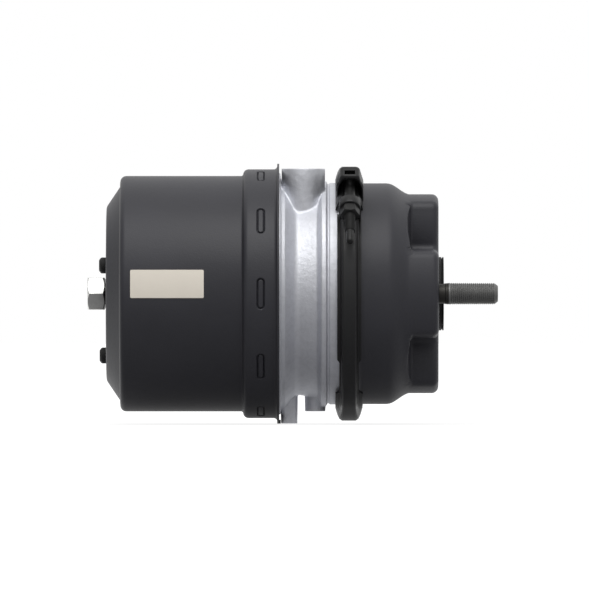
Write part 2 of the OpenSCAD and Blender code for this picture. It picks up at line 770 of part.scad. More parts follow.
// Local frame of a joint: +Z leaves the axis, -Y runs along the bolt to its nut
nut_lug_s = 5;
nut_lug_t = 7.8;
nut_lug_w = 17;
hood_near_s = -10;
hood_far_s = -21;
hood_wall = 3;
hood_t = 1.7;
hood_top = clamp_bolt_r + 12.4;
bolt_hole_r = clamp_bolt_bore_r + 0.3;

module bolt_bar(s0, s1, r) {
    translate([x_clamp, -s0, clamp_bolt_r]) rotate([90, 0, 0]) cylinder(h = s1 - s0, r = r);
}

// Thick lug with a round top that the nut bears on
module nut_lug() {
    foot = lip_inside_r - 1;
    difference() {
        union() {
            bolt_bar(nut_lug_s, nut_lug_s + nut_lug_t, nut_lug_w / 2);
            translate([x_clamp - nut_lug_w / 2, -nut_lug_s - nut_lug_t, foot])
                cube([nut_lug_w, nut_lug_t, clamp_bolt_r - foot]);
        }
        inside_clamp();
        bolt_bar(nut_lug_s - 1, nut_lug_s + nut_lug_t + 1, bolt_hole_r);
    }
}

// Section of the hood across the bolt: straight sides that lean in to a nearly flat top
module hood_2d(inset) {
    half = [
        [clamp_w / 2, lip_inside_r - 2], [clamp_w / 2, clamp_bolt_r + 0.6], [9.4, clamp_bolt_r + 3],
        [7.8, clamp_bolt_r + 6.2], [6.6, hood_top - 2.4], [5.6, hood_top - 0.9], [4.4, hood_top - 0.2]
    ];
    mirrored = [for (i = [len(half) - 1 : -1 : 0]) [-half[i][0], half[i][1]]];
    offset(delta = -inset) polygon(concat(half, [[0, hood_top]], mirrored));
}

// Hood over the bolt's head end, open towards the nut
module hood() {
    slot = [8, 3.5];
    slot_y = 2.3 - hood_near_s;
    hood_len = hood_near_s - hood_far_s;
    difference() {
        translate([x_clamp, -hood_far_s, 0]) rotate([90, 0, 0]) linear_extrude(hood_len) hood_2d(0);
        translate([x_clamp, -hood_far_s - hood_wall, 0]) rotate([90, 0, 0])
            linear_extrude(hood_len - hood_wall + 1) difference() {
                hood_2d(hood_t);
                translate([-clamp_w, 0]) square([2 * clamp_w, clamp_r - 1]);
            }
        inside_clamp();
        bolt_bar(hood_far_s - 1, hood_near_s, bolt_hole_r);
        translate([x_clamp - slot[0] / 2, slot_y, hood_top - hood_t - 1]) cube([slot[0], slot[1], hood_t + 2]);
    }
}

// Everything inside the clamp ring
module inside_clamp() {
    x0 = x_clamp - clamp_w;
    x1 = x_clamp + clamp_w;
    spin(concat([[x0, 0], [x1, 0], [x1, lip_inside_r]], clamp_inner_line(), [[x0, lip_inside_r]]));
}

module clamp_half_front() {
    color(clamp_black) clamp_half();
}

module clamp_half_back() {
    color(clamp_black) rotate([180, 0, 0]) clamp_half();
}

bolt_head_t = 5.3;
nut_t = 7.4;
nut_s = nut_lug_s + nut_lug_t;
bolt_tip_s = nut_s + nut_t + clamp_tail;

// Hexagonal prism along a clamp bolt
module bolt_hex(s0, s1) {
    translate([x_clamp, -s0, clamp_bolt_r]) rotate([90, 0, 0])
        cylinder(h = s1 - s0, r = clamp_flats / sqrt(3), $fn = 6);
}

module joint_places() {
    for (i = [0, 1]) from_top(clamp_angle + 180 * i) children();
}

module clamp_bolts() {
    pilot_r = clamp_bolt_bore_r - 1.2;
    pilot_len = 13;
    color(clamp_black) joint_places() {
        bolt_hex(hood_far_s - bolt_head_t, hood_far_s);
        bolt_bar(hood_far_s - eps, bolt_tip_s, clamp_bolt_bore_r);
        bolt_bar(bolt_tip_s - eps, bolt_tip_s + pilot_len, pilot_r);
    }
}

// Turned blank of a clamp nut, which chamfers its outer corners
module nut_round() {
    chamfer = 1.2;
    corner = clamp_flats / sqrt(3) + 0.01;
    translate([x_clamp, -nut_s, clamp_bolt_r]) rotate([90, 0, 0]) rotate_extrude()
        polygon([[0, 0], [corner, 0], [corner, nut_t - chamfer * 0.6], [corner - chamfer, nut_t], [0, nut_t]]);
}

module clamp_nuts() {
    color(clamp_black) joint_places() difference() {
        intersection() {
            bolt_hex(nut_s, nut_s + nut_t);
            nut_round();
        }
        bolt_bar(nut_s - 1, nut_s + nut_t + 1, clamp_bolt_bore_r + 0.02);
    }
}

// Piston: a cup that holds the power spring, with a recess for the casting's hub and a sleeve for the tube
module piston() {
    g = seal_groove_d;
    color(cast_grey) spin([
        [x_crown, recess_r], [x_crown, piston_r - 3], [x_crown - 3, piston_r],
        [x_guide_groove + guide_groove_w, piston_r], [x_guide_groove + guide_groove_w, piston_r - guide_groove_d],
        [x_guide_groove, piston_r - guide_groove_d], [x_guide_groove, piston_r], [x_seal_groove + seal_groove_w, piston_r],
        [x_seal_groove + seal_groove_w, piston_r - g], [x_seal_groove, piston_r - g], [x_seal_groove, piston_r],
        [x_skirt, piston_r], [x_skirt, piston_r - skirt_t], [x_crown - crown_t, piston_r - skirt_t - 1],
        [x_crown - crown_t, recess_r + recess_wall], [x_crown - recess_depth - recess_wall, recess_r + recess_wall - 2],
        [x_crown - recess_depth - recess_wall, sleeve_r], [x_crown - recess_depth - recess_wall - sleeve_len, sleeve_r],
        [x_crown - recess_depth - recess_wall - sleeve_len, tube_r + 0.05], [x_crown - recess_depth, tube_r + 0.05],
        [x_crown - recess_depth, recess_r]
    ]);
}

module piston_seal() {
    x = x_seal_groove + fit;
    w = seal_groove_w - 2 * fit;
    r0 = piston_r - seal_groove_d + 0.1;
    color(rubber_black) spin([
        [x, r0], [x + w, r0], [x + w, case_bore_r - fit], [x + w * 0.6, case_bore_r - 1.2], [x, piston_r - 0.5]
    ]);
}

module piston_guide() {
    x = x_guide_groove;
    color([0.8, 0.78, 0.7])
        ring(x + fit, x + guide_groove_w - fit, piston_r - guide_groove_d + 0.05, case_bore_r - fit);
}

module piston_tube() {
    groove_r = tube_bore_r + 1.2;
    color(zinc) difference() {
        ring(x_tube_rear, x_pad, tube_bore_r, tube_r);
        bar(x_catch - clip_t, x_catch, groove_r);
    }
}

// Pad that closes the tube and presses on the diaphragm
module tube_pad() {
    plug_len = 3.5;
    color(steel) spin([
        [x_pad - plug_len, 0], [x_pad - plug_len, tube_bore_r - 0.05], [x_pad, tube_bore_r - 0.05],
        [x_pad, tube_r - 0.5],
        [x_pad + pad_t - 2, tube_r - 0.5], [x_pad + pad_t, tube_r - 2.5], [x_pad + pad_t, 0]
    ]);
}

// Ring in the tube's rear end that the release gear pulls on
module catch_ring() {
    color(steel) ring(x_catch + 0.05, x_catch + catch_t, spindle_r + 0.6, tube_bore_r - 0.05);
}

module catch_clip() {
    color(steel) ring(x_catch - clip_t + 0.05, x_catch - 0.05, tube_bore_r - 2.5, tube_bore_r + 1.1);
}

// Pressed plate that the diaphragm pushes
module push_plate() {
    x = x_push_plate;
    t = push_plate_t;
    color(zinc) spin([
        [x, 0], [x, push_plate_r - 3], [x + 3, push_plate_r], [x + 8, push_plate_r], [x + 8, push_plate_r - t],
        [x + t + 1.5, push_plate_r - t], [x + t, push_plate_r - t - 1.5], [x + t, 0]
    ]);
}

// Push rod: a foot on the plate, and a round tip
module push_rod() {
    x0 = x_push_plate + push_plate_t;
    color(zinc) spin(concat(
        [[x0, 0], [x0, rod_r + 5], [x0 + 3, rod_r + 5], [x0 + 7, rod_r]],
        arc(x_rod_tip - rod_r, 0, rod_r, 90, 0, 10)
    ));
}

// Washer between the catch nut and the catch ring, which travels without turning
module thrust_washer() {
    color(steel) ring(x_washer, x_washer + washer_t, spindle_r + fit, tube_bore_r - 0.8);
}

// Release bolt: a hexagonal head outside, and a spindle that reaches into the piston's tube
module release_bolt() {
    tail = 1.5;
    x_tip = x_catch_nut + catch_nut_len + tail;
    color(zinc) difference() {
        union() {
            hex_x(x_head - head_len, x_head, head_flats, 1.2);
            bar(x_head - eps, x_tip, spindle_r);
        }
        translate([x_catch_nut + catch_nut_len / 2, 0, -head_flats]) cylinder(h = 2 * head_flats, r = catch_pin_r + 0.05);
    }
}

module catch_nut() {
    color(steel) difference() {
        hex_x(x_catch_nut, x_catch_nut + catch_nut_len, head_flats - 1, 1.2);
        bar(x_catch_nut - 1, x_catch_nut + catch_nut_len + 1, spindle_r + 0.02);
        translate([x_catch_nut + catch_nut_len / 2, 0, -head_flats]) cylinder(h = 2 * head_flats, r = catch_pin_r + 0.05);
    }
}

module catch_pin() {
    reach = (head_flats - 1) / 2;
    color(steel) translate([x_catch_nut + catch_nut_len / 2, 0, -reach]) cylinder(h = 2 * reach, r = catch_pin_r);
}

spring_case();
release_bush();
vent_plugs();
label_plate();
spring_seat();
power_spring();
flange_casting();
case_o_ring();
tube_bush();
tube_seals();
diaphragm();
service_housing();
stud_plate();
mounting_studs();
front_seal();
boot();
boot_clip();
return_spring();
clamp_half_front();
clamp_half_back();
clamp_bolts();
clamp_nuts();
piston();
piston_seal();
piston_guide();
piston_tube();
tube_pad();
catch_ring();
catch_clip();
push_plate();
push_rod();
thrust_washer();
release_bolt();
catch_nut();
catch_pin();
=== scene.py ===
# %% [markdown]
# # A spring brake chamber, dressed around its solid model
#
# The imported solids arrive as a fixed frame: every piece is already in its place, in metres, with +X along
# the cylinder axis towards the mounting studs and +Z up. What is left to do here is the look. Pressed
# steel gets its soft edges, the casting its fillets, the screws their threads, the springs and rubber
# their true forms, and every surface a finish made of shader nodes.

# %% Load the frame
import json
import math

import bmesh
import bpy
import numpy as np
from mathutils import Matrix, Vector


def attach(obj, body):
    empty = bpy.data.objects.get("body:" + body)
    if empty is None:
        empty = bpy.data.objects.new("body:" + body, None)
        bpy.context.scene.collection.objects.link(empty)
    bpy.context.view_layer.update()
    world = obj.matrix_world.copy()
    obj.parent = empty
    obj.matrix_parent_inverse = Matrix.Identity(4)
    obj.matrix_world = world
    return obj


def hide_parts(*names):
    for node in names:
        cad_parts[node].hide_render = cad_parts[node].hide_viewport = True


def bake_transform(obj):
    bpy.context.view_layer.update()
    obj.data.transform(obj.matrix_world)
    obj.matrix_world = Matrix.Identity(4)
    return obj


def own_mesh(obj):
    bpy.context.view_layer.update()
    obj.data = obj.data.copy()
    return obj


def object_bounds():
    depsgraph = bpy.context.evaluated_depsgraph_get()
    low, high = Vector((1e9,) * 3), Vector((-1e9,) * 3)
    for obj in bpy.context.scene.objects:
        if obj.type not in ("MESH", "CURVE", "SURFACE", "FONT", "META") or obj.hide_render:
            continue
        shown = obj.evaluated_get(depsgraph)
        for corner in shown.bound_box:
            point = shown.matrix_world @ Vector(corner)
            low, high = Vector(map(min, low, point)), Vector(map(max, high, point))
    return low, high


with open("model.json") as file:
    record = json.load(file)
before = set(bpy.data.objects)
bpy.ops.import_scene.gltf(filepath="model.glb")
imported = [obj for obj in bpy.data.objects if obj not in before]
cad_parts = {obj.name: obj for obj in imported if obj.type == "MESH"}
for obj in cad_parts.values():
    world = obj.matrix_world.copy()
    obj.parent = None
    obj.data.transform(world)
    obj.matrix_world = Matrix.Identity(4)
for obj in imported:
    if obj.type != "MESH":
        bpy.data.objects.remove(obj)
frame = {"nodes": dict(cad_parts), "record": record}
cad_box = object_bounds()
record = frame["record"]

# %% [markdown]
# ## The camera
#
# The photograph is taken level with the axis and square to it, from so far away that it is almost a
# parallel view. A very long lens does the same: 1000 mm on a 36 mm sensor sees 36 mm across for each
# metre of distance, so the distance follows from the width that the picture covers.

# %% Camera
VIEW_WIDTH = 0.44175
VIEW_CENTRE = (-0.1078, -0.0006)
LENS = 1000.0
SENSOR = 36.0

camera_data = bpy.data.cameras.new("camera")
camera_data.lens = LENS
camera_data.sensor_width = SENSOR
camera = bpy.data.objects.new("camera", camera_data)
bpy.context.scene.collection.objects.link(camera)
camera.location = (VIEW_CENTRE[0], -VIEW_WIDTH * LENS / SENSOR, VIEW_CENTRE[1])
camera.rotation_euler = (math.radians(90), 0, 0)
bpy.context.scene.camera = camera
print("camera at", [round(v, 3) for v in camera.location])

# %% [markdown]
# ## Shader maths in Python
#
# A material is a small program. Written as node links it is hard to read, so one class wraps a socket and
# lets +, - and * add the Math nodes. A second class holds one finish while it is being made: its node()
# method adds any other node from its type, its settings and what goes into its sockets.


# %% A socket with arithmetic
class Value:
    """One output socket. Arithmetic on it adds a Math node and gives the new output."""

    def __init__(self, finish, socket):
        self.finish = finish
        self.socket = socket

    def _math(self, operation, *terms):
        return self.finish.node("ShaderNodeMath", {"operation": operation}, terms)

    def __add__(self, other):
        return self._math("ADD", self, other)

    def __radd__(self, other):
        return self._math("ADD", other, self)

    def __sub__(self, other):
        return self._math("SUBTRACT", self, other)

    def __rsub__(self, other):
        return self._math("SUBTRACT", other, self)

    def __mul__(self, other):
        return self._math("MULTIPLY", self, other)

    def __rmul__(self, other):
        return self._math("MULTIPLY", other, self)

    def step(self, low, high):
        """0 below low, 1 above high, and a smooth ramp between them."""
        inputs = {"Value": self, "From Min": low, "From Max": high}
        return self.finish.node("ShaderNodeMapRange", {"interpolation_type": "SMOOTHSTEP"}, inputs)


# %% A finish in the making
class Finish:
    """A material in the making, with a Principled shader ready at its end."""

    def __init__(self, name):
        self.material = bpy.data.materials.new(name)
        self.material.use_nodes = True
        self.nodes = self.material.node_tree.nodes
        self.links = self.material.node_tree.links
        self.shader = self.nodes["Principled BSDF"]
        self.output = self.nodes["Material Output"]

    def node(self, kind, settings=None, inputs=(), out=0):
        """Adds a node: settings first, then its sockets by name or place, and returns one output."""
        made = self.nodes.new(kind)
        for key, value in (settings or {}).items():
            setattr(made, key, value)
        pairs = inputs.items() if isinstance(inputs, dict) else enumerate(inputs)
        for key, value in pairs:
            self.feed(made.inputs[key], value)
        return Value(self, made.outputs[out])

    def feed(self, socket, value):
        """Links a Value to a socket, or sets the socket's own number or colour."""
        if isinstance(value, Value):
            self.links.new(value.socket, socket)
        elif isinstance(value, tuple) and len(value) == 3 and len(getattr(socket, "default_value", ())) == 4:
            socket.default_value = (*value, 1)
        else:
            socket.default_value = value

    def set(self, **values):
        """Sets the Principled shader's sockets; base_color stands for Base Color, and so on."""
        names = {
            "base_color": "Base Color", "coat_weight": "Coat Weight",
            "coat_roughness": "Coat Roughness", "specular": "Specular IOR Level",
        }
        for key, value in values.items():
            self.feed(self.shader.inputs[names.get(key, key.title())], value)
        return self

    def place(self):
        """The point on the object, in metres, in the object's own frame."""
        return self.node("ShaderNodeTexCoord", out=3)

    def along(self, axis=0):
        """That point's X, Y or Z alone: axis is 0, 1 or 2."""
        return self.node("ShaderNodeSeparateXYZ", {}, [self.place()], out=axis)

    def noise(self, scale, detail=3.0, roughness=0.5):
        """Cloudy values about 0.5; scale is in cycles a metre."""
        inputs = {"Vector": self.place(), "Scale": scale, "Detail": detail, "Roughness": roughness}
        return self.node("ShaderNodeTexNoise", {}, inputs)

    def mix(self, mask, low, high):
        """A colour between low and high, by mask."""
        return self.node("ShaderNodeMix", {"data_type": "RGBA"}, {0: mask, 6: low, 7: high}, out=2)

    def soft_edges(self, radius):
        """The normal as if every edge were rounded by radius, in metres."""
        return self.node("ShaderNodeBevel", {"samples": 6}, {"Radius": radius})

    def bump(self, height, depth, normal=None):
        """Tilts the normal as if the surface rose by height times depth, in metres."""
        inputs = {"Height": height, "Distance": depth, "Strength": 1.0}
        if normal is not None:
            inputs["Normal"] = normal
        return self.set(normal=self.node("ShaderNodeBump", {}, inputs))


# %% [markdown]
# ## Black paint
#
# The pressed steel wears a thick satin black paint. Close up it has a fine orange peel and a dust of
# specks, and it is duller in some places than in others, so noise of several sizes drives its normal, its
# colour and its gloss. Its colour is a dark grey and not black, or the light would find nothing to show
# the form with. Along the case's shoulder a paler line is painted into the colour, as in the photograph: a
# painted highlight on the shoulder's rounded edge.


# %% Paint
# The paler line painted on the case's shoulder: a painted highlight on its rounded edge, at this place and in
# this tone.
PAINTED_HIGHLIGHT_X = -0.2383
PAINTED_HIGHLIGHT_TONE = (0.075, 0.075, 0.08)


def painted(name, colour, rough, peel, edge, specular=0.5, coat=0.0, highlight_at=None):
    """Paint of one colour: two sizes of noise bend the surface, and a broad one changes its gloss.

    The place along X given last, if any, is where an edge stands out: there a paler line is painted into the
    colour, a painted highlight.
    """
    finish = Finish(name)
    broad = finish.noise(9.0, 4.0)
    fine = finish.noise(900.0, 2.0)
    specks = finish.noise(2600.0, 1.0).step(0.66, 0.74)
    lighter = tuple(c * 1.35 + 0.006 for c in colour)
    tone = finish.mix(broad.step(0.35, 0.7) * 0.6 + specks * 0.4, colour, lighter)
    # A painted highlight: a paler line of colour where the edge would catch the light.
    if highlight_at is not None:
        along = finish.along()
        begun = along.step(highlight_at - 0.0007, highlight_at - 0.0003)
        past = along.step(highlight_at + 0.0003, highlight_at + 0.0009)
        tone = finish.mix(begun * (1 - past) * 0.9, tone, PAINTED_HIGHLIGHT_TONE)
    finish.set(base_color=tone, roughness=rough + (broad - 0.5) * 0.16 + (fine - 0.5) * 0.08)
    finish.set(specular=specular, coat_weight=coat, coat_roughness=0.16)
    finish.bump(fine + finish.noise(260.0, 1.0) * 0.6, peel, normal=finish.soft_edges(edge))
    return finish.material


# %% [markdown]
# ## Metals, rubber, plastic
#
# The casting's skin is neither smooth nor sharp: it took the mould's grain, so two sizes of noise bend it
# and its pores are darker. Plated screws and springs are cloudy, the studs are dull and worn pale on their
# threads, and rubber is matt with a bloom. Each is a function, so one recipe serves several pieces. The
# colours are those of the real surfaces: the room and the lamp give them their light and dark.


# %% Cast metal
def cast(name, colour, rough):
    """Aluminium as it comes out of the mould: metal with a grain, darker in its pores."""
    finish = Finish(name)
    grain = finish.noise(1500.0, 3.0, 0.65)
    broad = finish.noise(22.0, 3.0)
    skin = finish.noise(240.0, 4.0, 0.6)
    pores = finish.noise(700.0, 2.0).step(0.62, 0.75)
    dark = tuple(c * 0.72 for c in colour)
    tone = finish.mix(broad.step(0.3, 0.75) * 0.25 + skin.step(0.4, 0.7) * 0.2 + pores * 0.3, colour, dark)
    finish.set(base_color=tone, metallic=1.0, roughness=rough + (broad - 0.5) * 0.15 + (grain - 0.5) * 0.12)
    finish.bump(grain * 0.25 + skin, 0.0004, normal=finish.soft_edges(0.0009))
    return finish.material


# %% Plated and phosphated steel
def plated(name, colour, rough):
    """Plated or oiled metal: clouds of a darker tone and a fine grain."""
    finish = Finish(name)
    cloud = finish.noise(60.0, 4.0)
    grain = finish.noise(2200.0, 2.0)
    dark = tuple(c * 0.6 for c in colour)
    finish.set(base_color=finish.mix(cloud.step(0.35, 0.7) * 0.6, colour, dark), metallic=1.0)
    finish.set(roughness=rough + (cloud - 0.5) * 0.2 + (grain - 0.5) * 0.1)
    finish.bump(grain, 0.00004, normal=finish.soft_edges(0.0004))
    return finish.material


def phosphated(name, neck, thread, rough):
    """Phosphated steel: a dull dark coat, rubbed paler on the threads, which start 7.3 mm outside."""
    finish = Finish(name)
    cloud = finish.noise(90.0, 4.0)
    grain = finish.noise(1400.0, 2.0)
    worn = finish.along().step(0.0070, 0.0076) * (0.75 + 0.5 * (cloud - 0.5))
    finish.set(base_color=finish.mix(worn, neck, thread), metallic=0.85)
    finish.set(roughness=rough + (grain - 0.5) * 0.12)
    finish.bump(grain, 0.00001, normal=finish.soft_edges(0.0003))
    return finish.material


# %% Rubber and plastic
def rubber(name, colour, rough, weave=0.0):
    """Moulded rubber: matt, with a fine grain, and a woven look where fabric lies just under it."""
    finish = Finish(name)
    grain = finish.noise(1800.0, 2.0)
    bloom = finish.noise(35.0, 4.0)
    pale = tuple(c * 1.8 + 0.01 for c in colour)
    finish.set(base_color=finish.mix(bloom.step(0.45, 0.8) * 0.6, colour, pale))
    finish.set(roughness=rough + (bloom - 0.5) * 0.15, specular=0.35)
    finish.bump(grain + finish.noise(500.0, 1.0) * weave, 0.00008, normal=finish.soft_edges(0.0005))
    return finish.material


def plastic(name, colour, rough, darkest=0.9):
    """A matt plastic or a printed film: an even colour with a faint mottle."""
    finish = Finish(name)
    mottle = finish.noise(120.0, 3.0)
    fine = finish.noise(1600.0, 2.0)
    shade = tuple(c * darkest for c in colour)
    finish.set(base_color=finish.mix(mottle.step(0.3, 0.75) * 0.5, colour, shade))
    finish.set(roughness=rough + (fine - 0.5) * 0.1)
    finish.bump(fine, 0.00003)
    return finish.material


# %% The finishes
RECIPES = {
    # black_paint carries the painted highlight line on the case's shoulder.
    "black_paint": (painted, (0.0285, 0.0285, 0.0355), 0.50, 0.00008, 0.0006, 0.5, 0.0, PAINTED_HIGHLIGHT_X),
    "clamp_black": (painted, (0.0085, 0.0085, 0.0090), 0.46, 0.00005, 0.0004, 0.4, 0.12),
    "bolt_black": (painted, (0.007, 0.007, 0.007), 0.42, 0.00003, 0.0003, 0.35),
    "cast_aluminium": (cast, (0.76, 0.77, 0.81), 0.56),
    "zinc_steel": (plated, (0.34, 0.34, 0.335), 0.38),
    "bolt_zinc": (plated, (0.66, 0.66, 0.64), 0.3),
    "phosphated_steel": (phosphated, (0.05, 0.048, 0.044), (0.26, 0.26, 0.255), 0.5),
    "spring_steel": (plated, (0.1, 0.1, 0.11), 0.42),
    "black_rubber": (rubber, (0.014, 0.014, 0.014), 0.6),
    "diaphragm_rubber": (rubber, (0.02, 0.02, 0.021), 0.7, 0.8),
    "guide_plastic": (plastic, (0.72, 0.69, 0.6), 0.45),
    "bronze_bush": (plated, (0.55, 0.38, 0.16), 0.4),
    "label_cream": (plastic, (0.97, 0.90, 0.785), 0.5, 0.97),
}
FINISHES = {name: make(name, *values) for name, (make, *values) in RECIPES.items()}
slot_of = {part["node"]: part["material_slot"] for part in record["subparts"]}
for name, node in frame["nodes"].items():
    node.data.materials.clear()
    node.data.materials.append(FINISHES[slot_of[name]])
print("finishes:", len(FINISHES))

# %% [markdown]
# ## From a grid of points to a closed piece
#
# Most of this object is turned or pressed, so most of its pieces are grids: rows along a profile, columns
# round the axis. One helper joins such a grid into quads, merges the points that fall together at a pole,
# turns every face outwards and puts the piece on its body. Sizes below are in millimetres, as on a drawing.

# %% Mesh helpers
MM = 0.001
SAME_POINT = 2e-7
SHARP_ANGLE = math.radians(38)


def grid_faces(rows, columns, wrap_rows, wrap_columns):
    """Quads of a grid: each joins a point to its neighbours in the next row and column."""
    index = np.arange(rows * columns).reshape(rows, columns)
    if wrap_rows:
        index = np.vstack([index, index[:1]])
    if wrap_columns:
        index = np.hstack([index, index[:, :1]])
    quads = [index[:-1, :-1], index[:-1, 1:], index[1:, 1:], index[1:, :-1]]
    return np.stack(quads, axis=-1).reshape(-1, 4)


def make_piece(name, grids, body, slot, replaced=(), wrap_rows=True, wrap_columns=True, ready=(), place=True):
    """A piece from grids of points in millimetres, on its body, in its slot's finish.

    ready holds further meshes, each as points and faces. Any open end is closed by one flat face.
    """
    points, faces, start = [], [], 0
    meshes = [(grid, grid_faces(*grid.shape[:2], wrap_rows, wrap_columns)) for grid in grids] + list(ready)
    for grid, quads in meshes:
        points.append(np.asarray(grid, float).reshape(-1, 3) * MM)
        faces += [[corner + start for corner in face] for face in np.asarray(quads).tolist()]
        start += len(points[-1])
    mesh = bpy.data.meshes.new(name)
    mesh.from_pydata(np.vstack(points), [], faces)
    work = bmesh.new()
    work.from_mesh(mesh)
    bmesh.ops.remove_doubles(work, verts=work.verts, dist=SAME_POINT)
    bmesh.ops.dissolve_degenerate(work, edges=work.edges, dist=SAME_POINT / 2)
    if wrap_rows and not wrap_columns:
        bmesh.ops.holes_fill(work, edges=[edge for edge in work.edges if edge.is_boundary])
    bmesh.ops.recalc_face_normals(work, faces=work.faces)
    work.to_mesh(mesh)
    work.free()
    mesh.polygons.foreach_set("use_smooth", np.ones(len(mesh.polygons), bool))
    mesh.set_sharp_from_angle(angle=SHARP_ANGLE)
    mesh.materials.append(FINISHES[slot])
    made = bpy.data.objects.new(name, mesh)
    bpy.context.scene.collection.objects.link(made)
    if replaced:
        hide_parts(*replaced)
    if place:
        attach(made, body)
    print(f"{name}: {len(mesh.polygons)} faces")
    return made


# %% Outline helpers
def unit(vectors):
    """Each vector divided by its own length."""
    return vectors / np.maximum(np.linalg.norm(vectors, axis=-1, keepdims=True), 1e-12)


def rounded(corners, steps=6):
    """A closed outline with its corners rounded.

    Each corner is x, radius, and the radius of its rounding. The arc's centre lies on the corner's
    bisector, rounding / sin(half angle) away, and the arc runs between the two points where it
    touches the sides, rounding / tan(half angle) from the corner.
    """
    data = np.array(corners, float)
    at, size = data[:, :2], np.maximum(data[:, 2:3], 0.02)
    back, ahead = unit(np.roll(at, 1, 0) - at), unit(np.roll(at, -1, 0) - at)
    half = np.arccos(np.clip((back * ahead).sum(1, keepdims=True), -0.9999, 0.9999)) / 2
    centre = at + unit(back + ahead) * size / np.sin(half)
    first, last = at + back * size / np.tan(half) - centre, at + ahead * size / np.tan(half) - centre
    a0, a1 = np.arctan2(first[:, 1], first[:, 0]), np.arctan2(last[:, 1], last[:, 0])
    turn = (a1 - a0 + np.pi) % (2 * np.pi) - np.pi
    angle = a0[:, None] + turn[:, None] * np.linspace(0, 1, steps)
    arcs = centre[:, None] + size[:, None] * np.stack([np.cos(angle), np.sin(angle)], -1)
    return arcs.reshape(-1, 2)


def finer(line, count):
    """The same line with its own points and about count more, evenly along its length."""
    passed = np.concatenate([[0], np.cumsum(np.hypot(*np.diff(line, axis=0).T))])
    spots = np.unique(np.concatenate([passed, np.linspace(0, passed[-1], count)]).round(6))
    return np.stack([np.interp(spots, passed, line[:, 0]), np.interp(spots, passed, line[:, 1])], axis=-1)


# %% Turned forms
def full_turn(sides):
    """Angles evenly once round."""
    return np.linspace(0, 2 * np.pi, sides, endpoint=False)


def turned(x, radius, angle):
    """Points round the X axis: x, radius times cos(angle), radius times sin(angle)."""
    x, radius, angle = np.broadcast_arrays(x, radius, angle)
    return np.stack([x, radius * np.cos(angle), radius * np.sin(angle)], axis=-1)


def spun(outline, sides=192):
    """The outline's points [x, radius] carried round the X axis."""
    return turned(outline[:, 0:1], outline[:, 1:2], full_turn(sides))


# %% [markdown]
# ## Places along the axis
#
# The same named places as in the solid model, in millimetres: x = 0 is the mounting face. The case, the
# casting and the clamp take the planes that they share from here, so they stay in touch when one changes.

# %% Places
X_CLAMP = -66.5
X_PLATE = -119.3
X_RING = -146.3
X_END = -248.7
CASE_R = 88.3
RING_R = 93.3
LIP_R = 97.5
SERVICE_R = 82.8

# %% [markdown]
# ## The spring case
#
# The case is a deep pressed can. Its shape is a profile carried round the axis: flat end, cone, shoulder,
# wall, the wide ring with its soft shoulders, and the lip. Ten tongues are staked into the wide ring to
# hold the casting, and each shows as a dark groove round a slot. A cut would need a boolean with rough
# edges, so they are pressed in by lowering the points of the grid: the depth depends on the distance to the
# slot's centre line. A short tab stands out of the lip at the bottom.

# %% Spring case
SLOTS = 10
SLOT_WIDTH = 5.9
SLOT_LENGTH = 23.2
SLOT_X = X_RING + 13.3
SLOT_REACH = 4.2
GROOVE_DEPTH = 1.5
GROOVE_INSET = 0.55
GROOVE_SPREAD = 0.5
ISLAND_DEPTH = 0.35
ISLAND_INSET = 0.4
ISLAND_EDGE = 0.12
WALL = 3.0
SHOULDER_X = X_END + 10.3
BUSH_R = 11.1


def slot_depth(x, angle):
    """How deep the surface lies at a point of the wide ring.

    distance is measured to the slot's middle line, a short arc; the groove is a bell at the slot's
    edge, and what lies inside the edge is a step lower than the wall.
    """
    around = (angle + np.pi / SLOTS) % (2 * np.pi / SLOTS) - np.pi / SLOTS
    along = np.abs(around) * RING_R
    straight = (SLOT_LENGTH - SLOT_WIDTH) / 2
    distance = np.hypot(x - SLOT_X, np.maximum(along - straight, 0))
    past_edge = distance - SLOT_WIDTH / 2
    groove = np.exp(-(((past_edge + GROOVE_INSET) / GROOVE_SPREAD) ** 2))
    island = 1 / (1 + np.exp((past_edge + ISLAND_INSET) / ISLAND_EDGE))
    return GROOVE_DEPTH * groove + ISLAND_DEPTH * island


# %% Spring case outline
case_outline = rounded([
    (X_END, BUSH_R, 0.3), (X_END, 65.0, 6.0), (SHOULDER_X, 80.3, 1.6), (SHOULDER_X, CASE_R, 4.5),
    (X_RING, CASE_R, 1.5), (X_RING, RING_R, 4.0), (X_PLATE - 1.5, RING_R, 2.5), (X_PLATE - 1.5, LIP_R, 0.4),
    (X_PLATE, LIP_R, 0.4), (X_PLATE, RING_R - WALL, 0.4), (X_RING + WALL, RING_R - WALL, 1.2),
    (X_RING + WALL, CASE_R - WALL, 1.5), (SHOULDER_X + WALL, CASE_R - WALL, 1.5),
    (SHOULDER_X + WALL, 79.3, 1.0), (X_END + WALL, 64.0, 3.0), (X_END + WALL, BUSH_R, 0.3),
])
flat = (case_outline[:, 1] > RING_R - 0.01) & (case_outline[:, 0] < SLOT_X)
first = np.nonzero(flat)[0].max()
fine_x = np.linspace(SLOT_X - SLOT_REACH, SLOT_X + SLOT_REACH, 57)
fine = np.stack([fine_x, np.full(fine_x.shape, RING_R)], axis=-1)
case_outline = np.vstack([case_outline[:first + 1], fine, case_outline[first + 1:]])


def slot_angles():
    """Angles round the ring, close together at the slots' round ends and wider between slots."""
    end = SLOT_LENGTH / 2 / RING_R
    spots = np.concatenate([
        np.linspace(-end - 0.008, -end + 0.042, 22), np.linspace(-end + 0.055, end - 0.055, 7),
        np.linspace(end - 0.042, end + 0.008, 22), np.linspace(end + 0.03, 2 * np.pi / SLOTS - end - 0.03, 7),
    ])
    turns = np.arange(SLOTS)[:, None] * 2 * np.pi / SLOTS
    return np.sort((turns + spots).ravel())


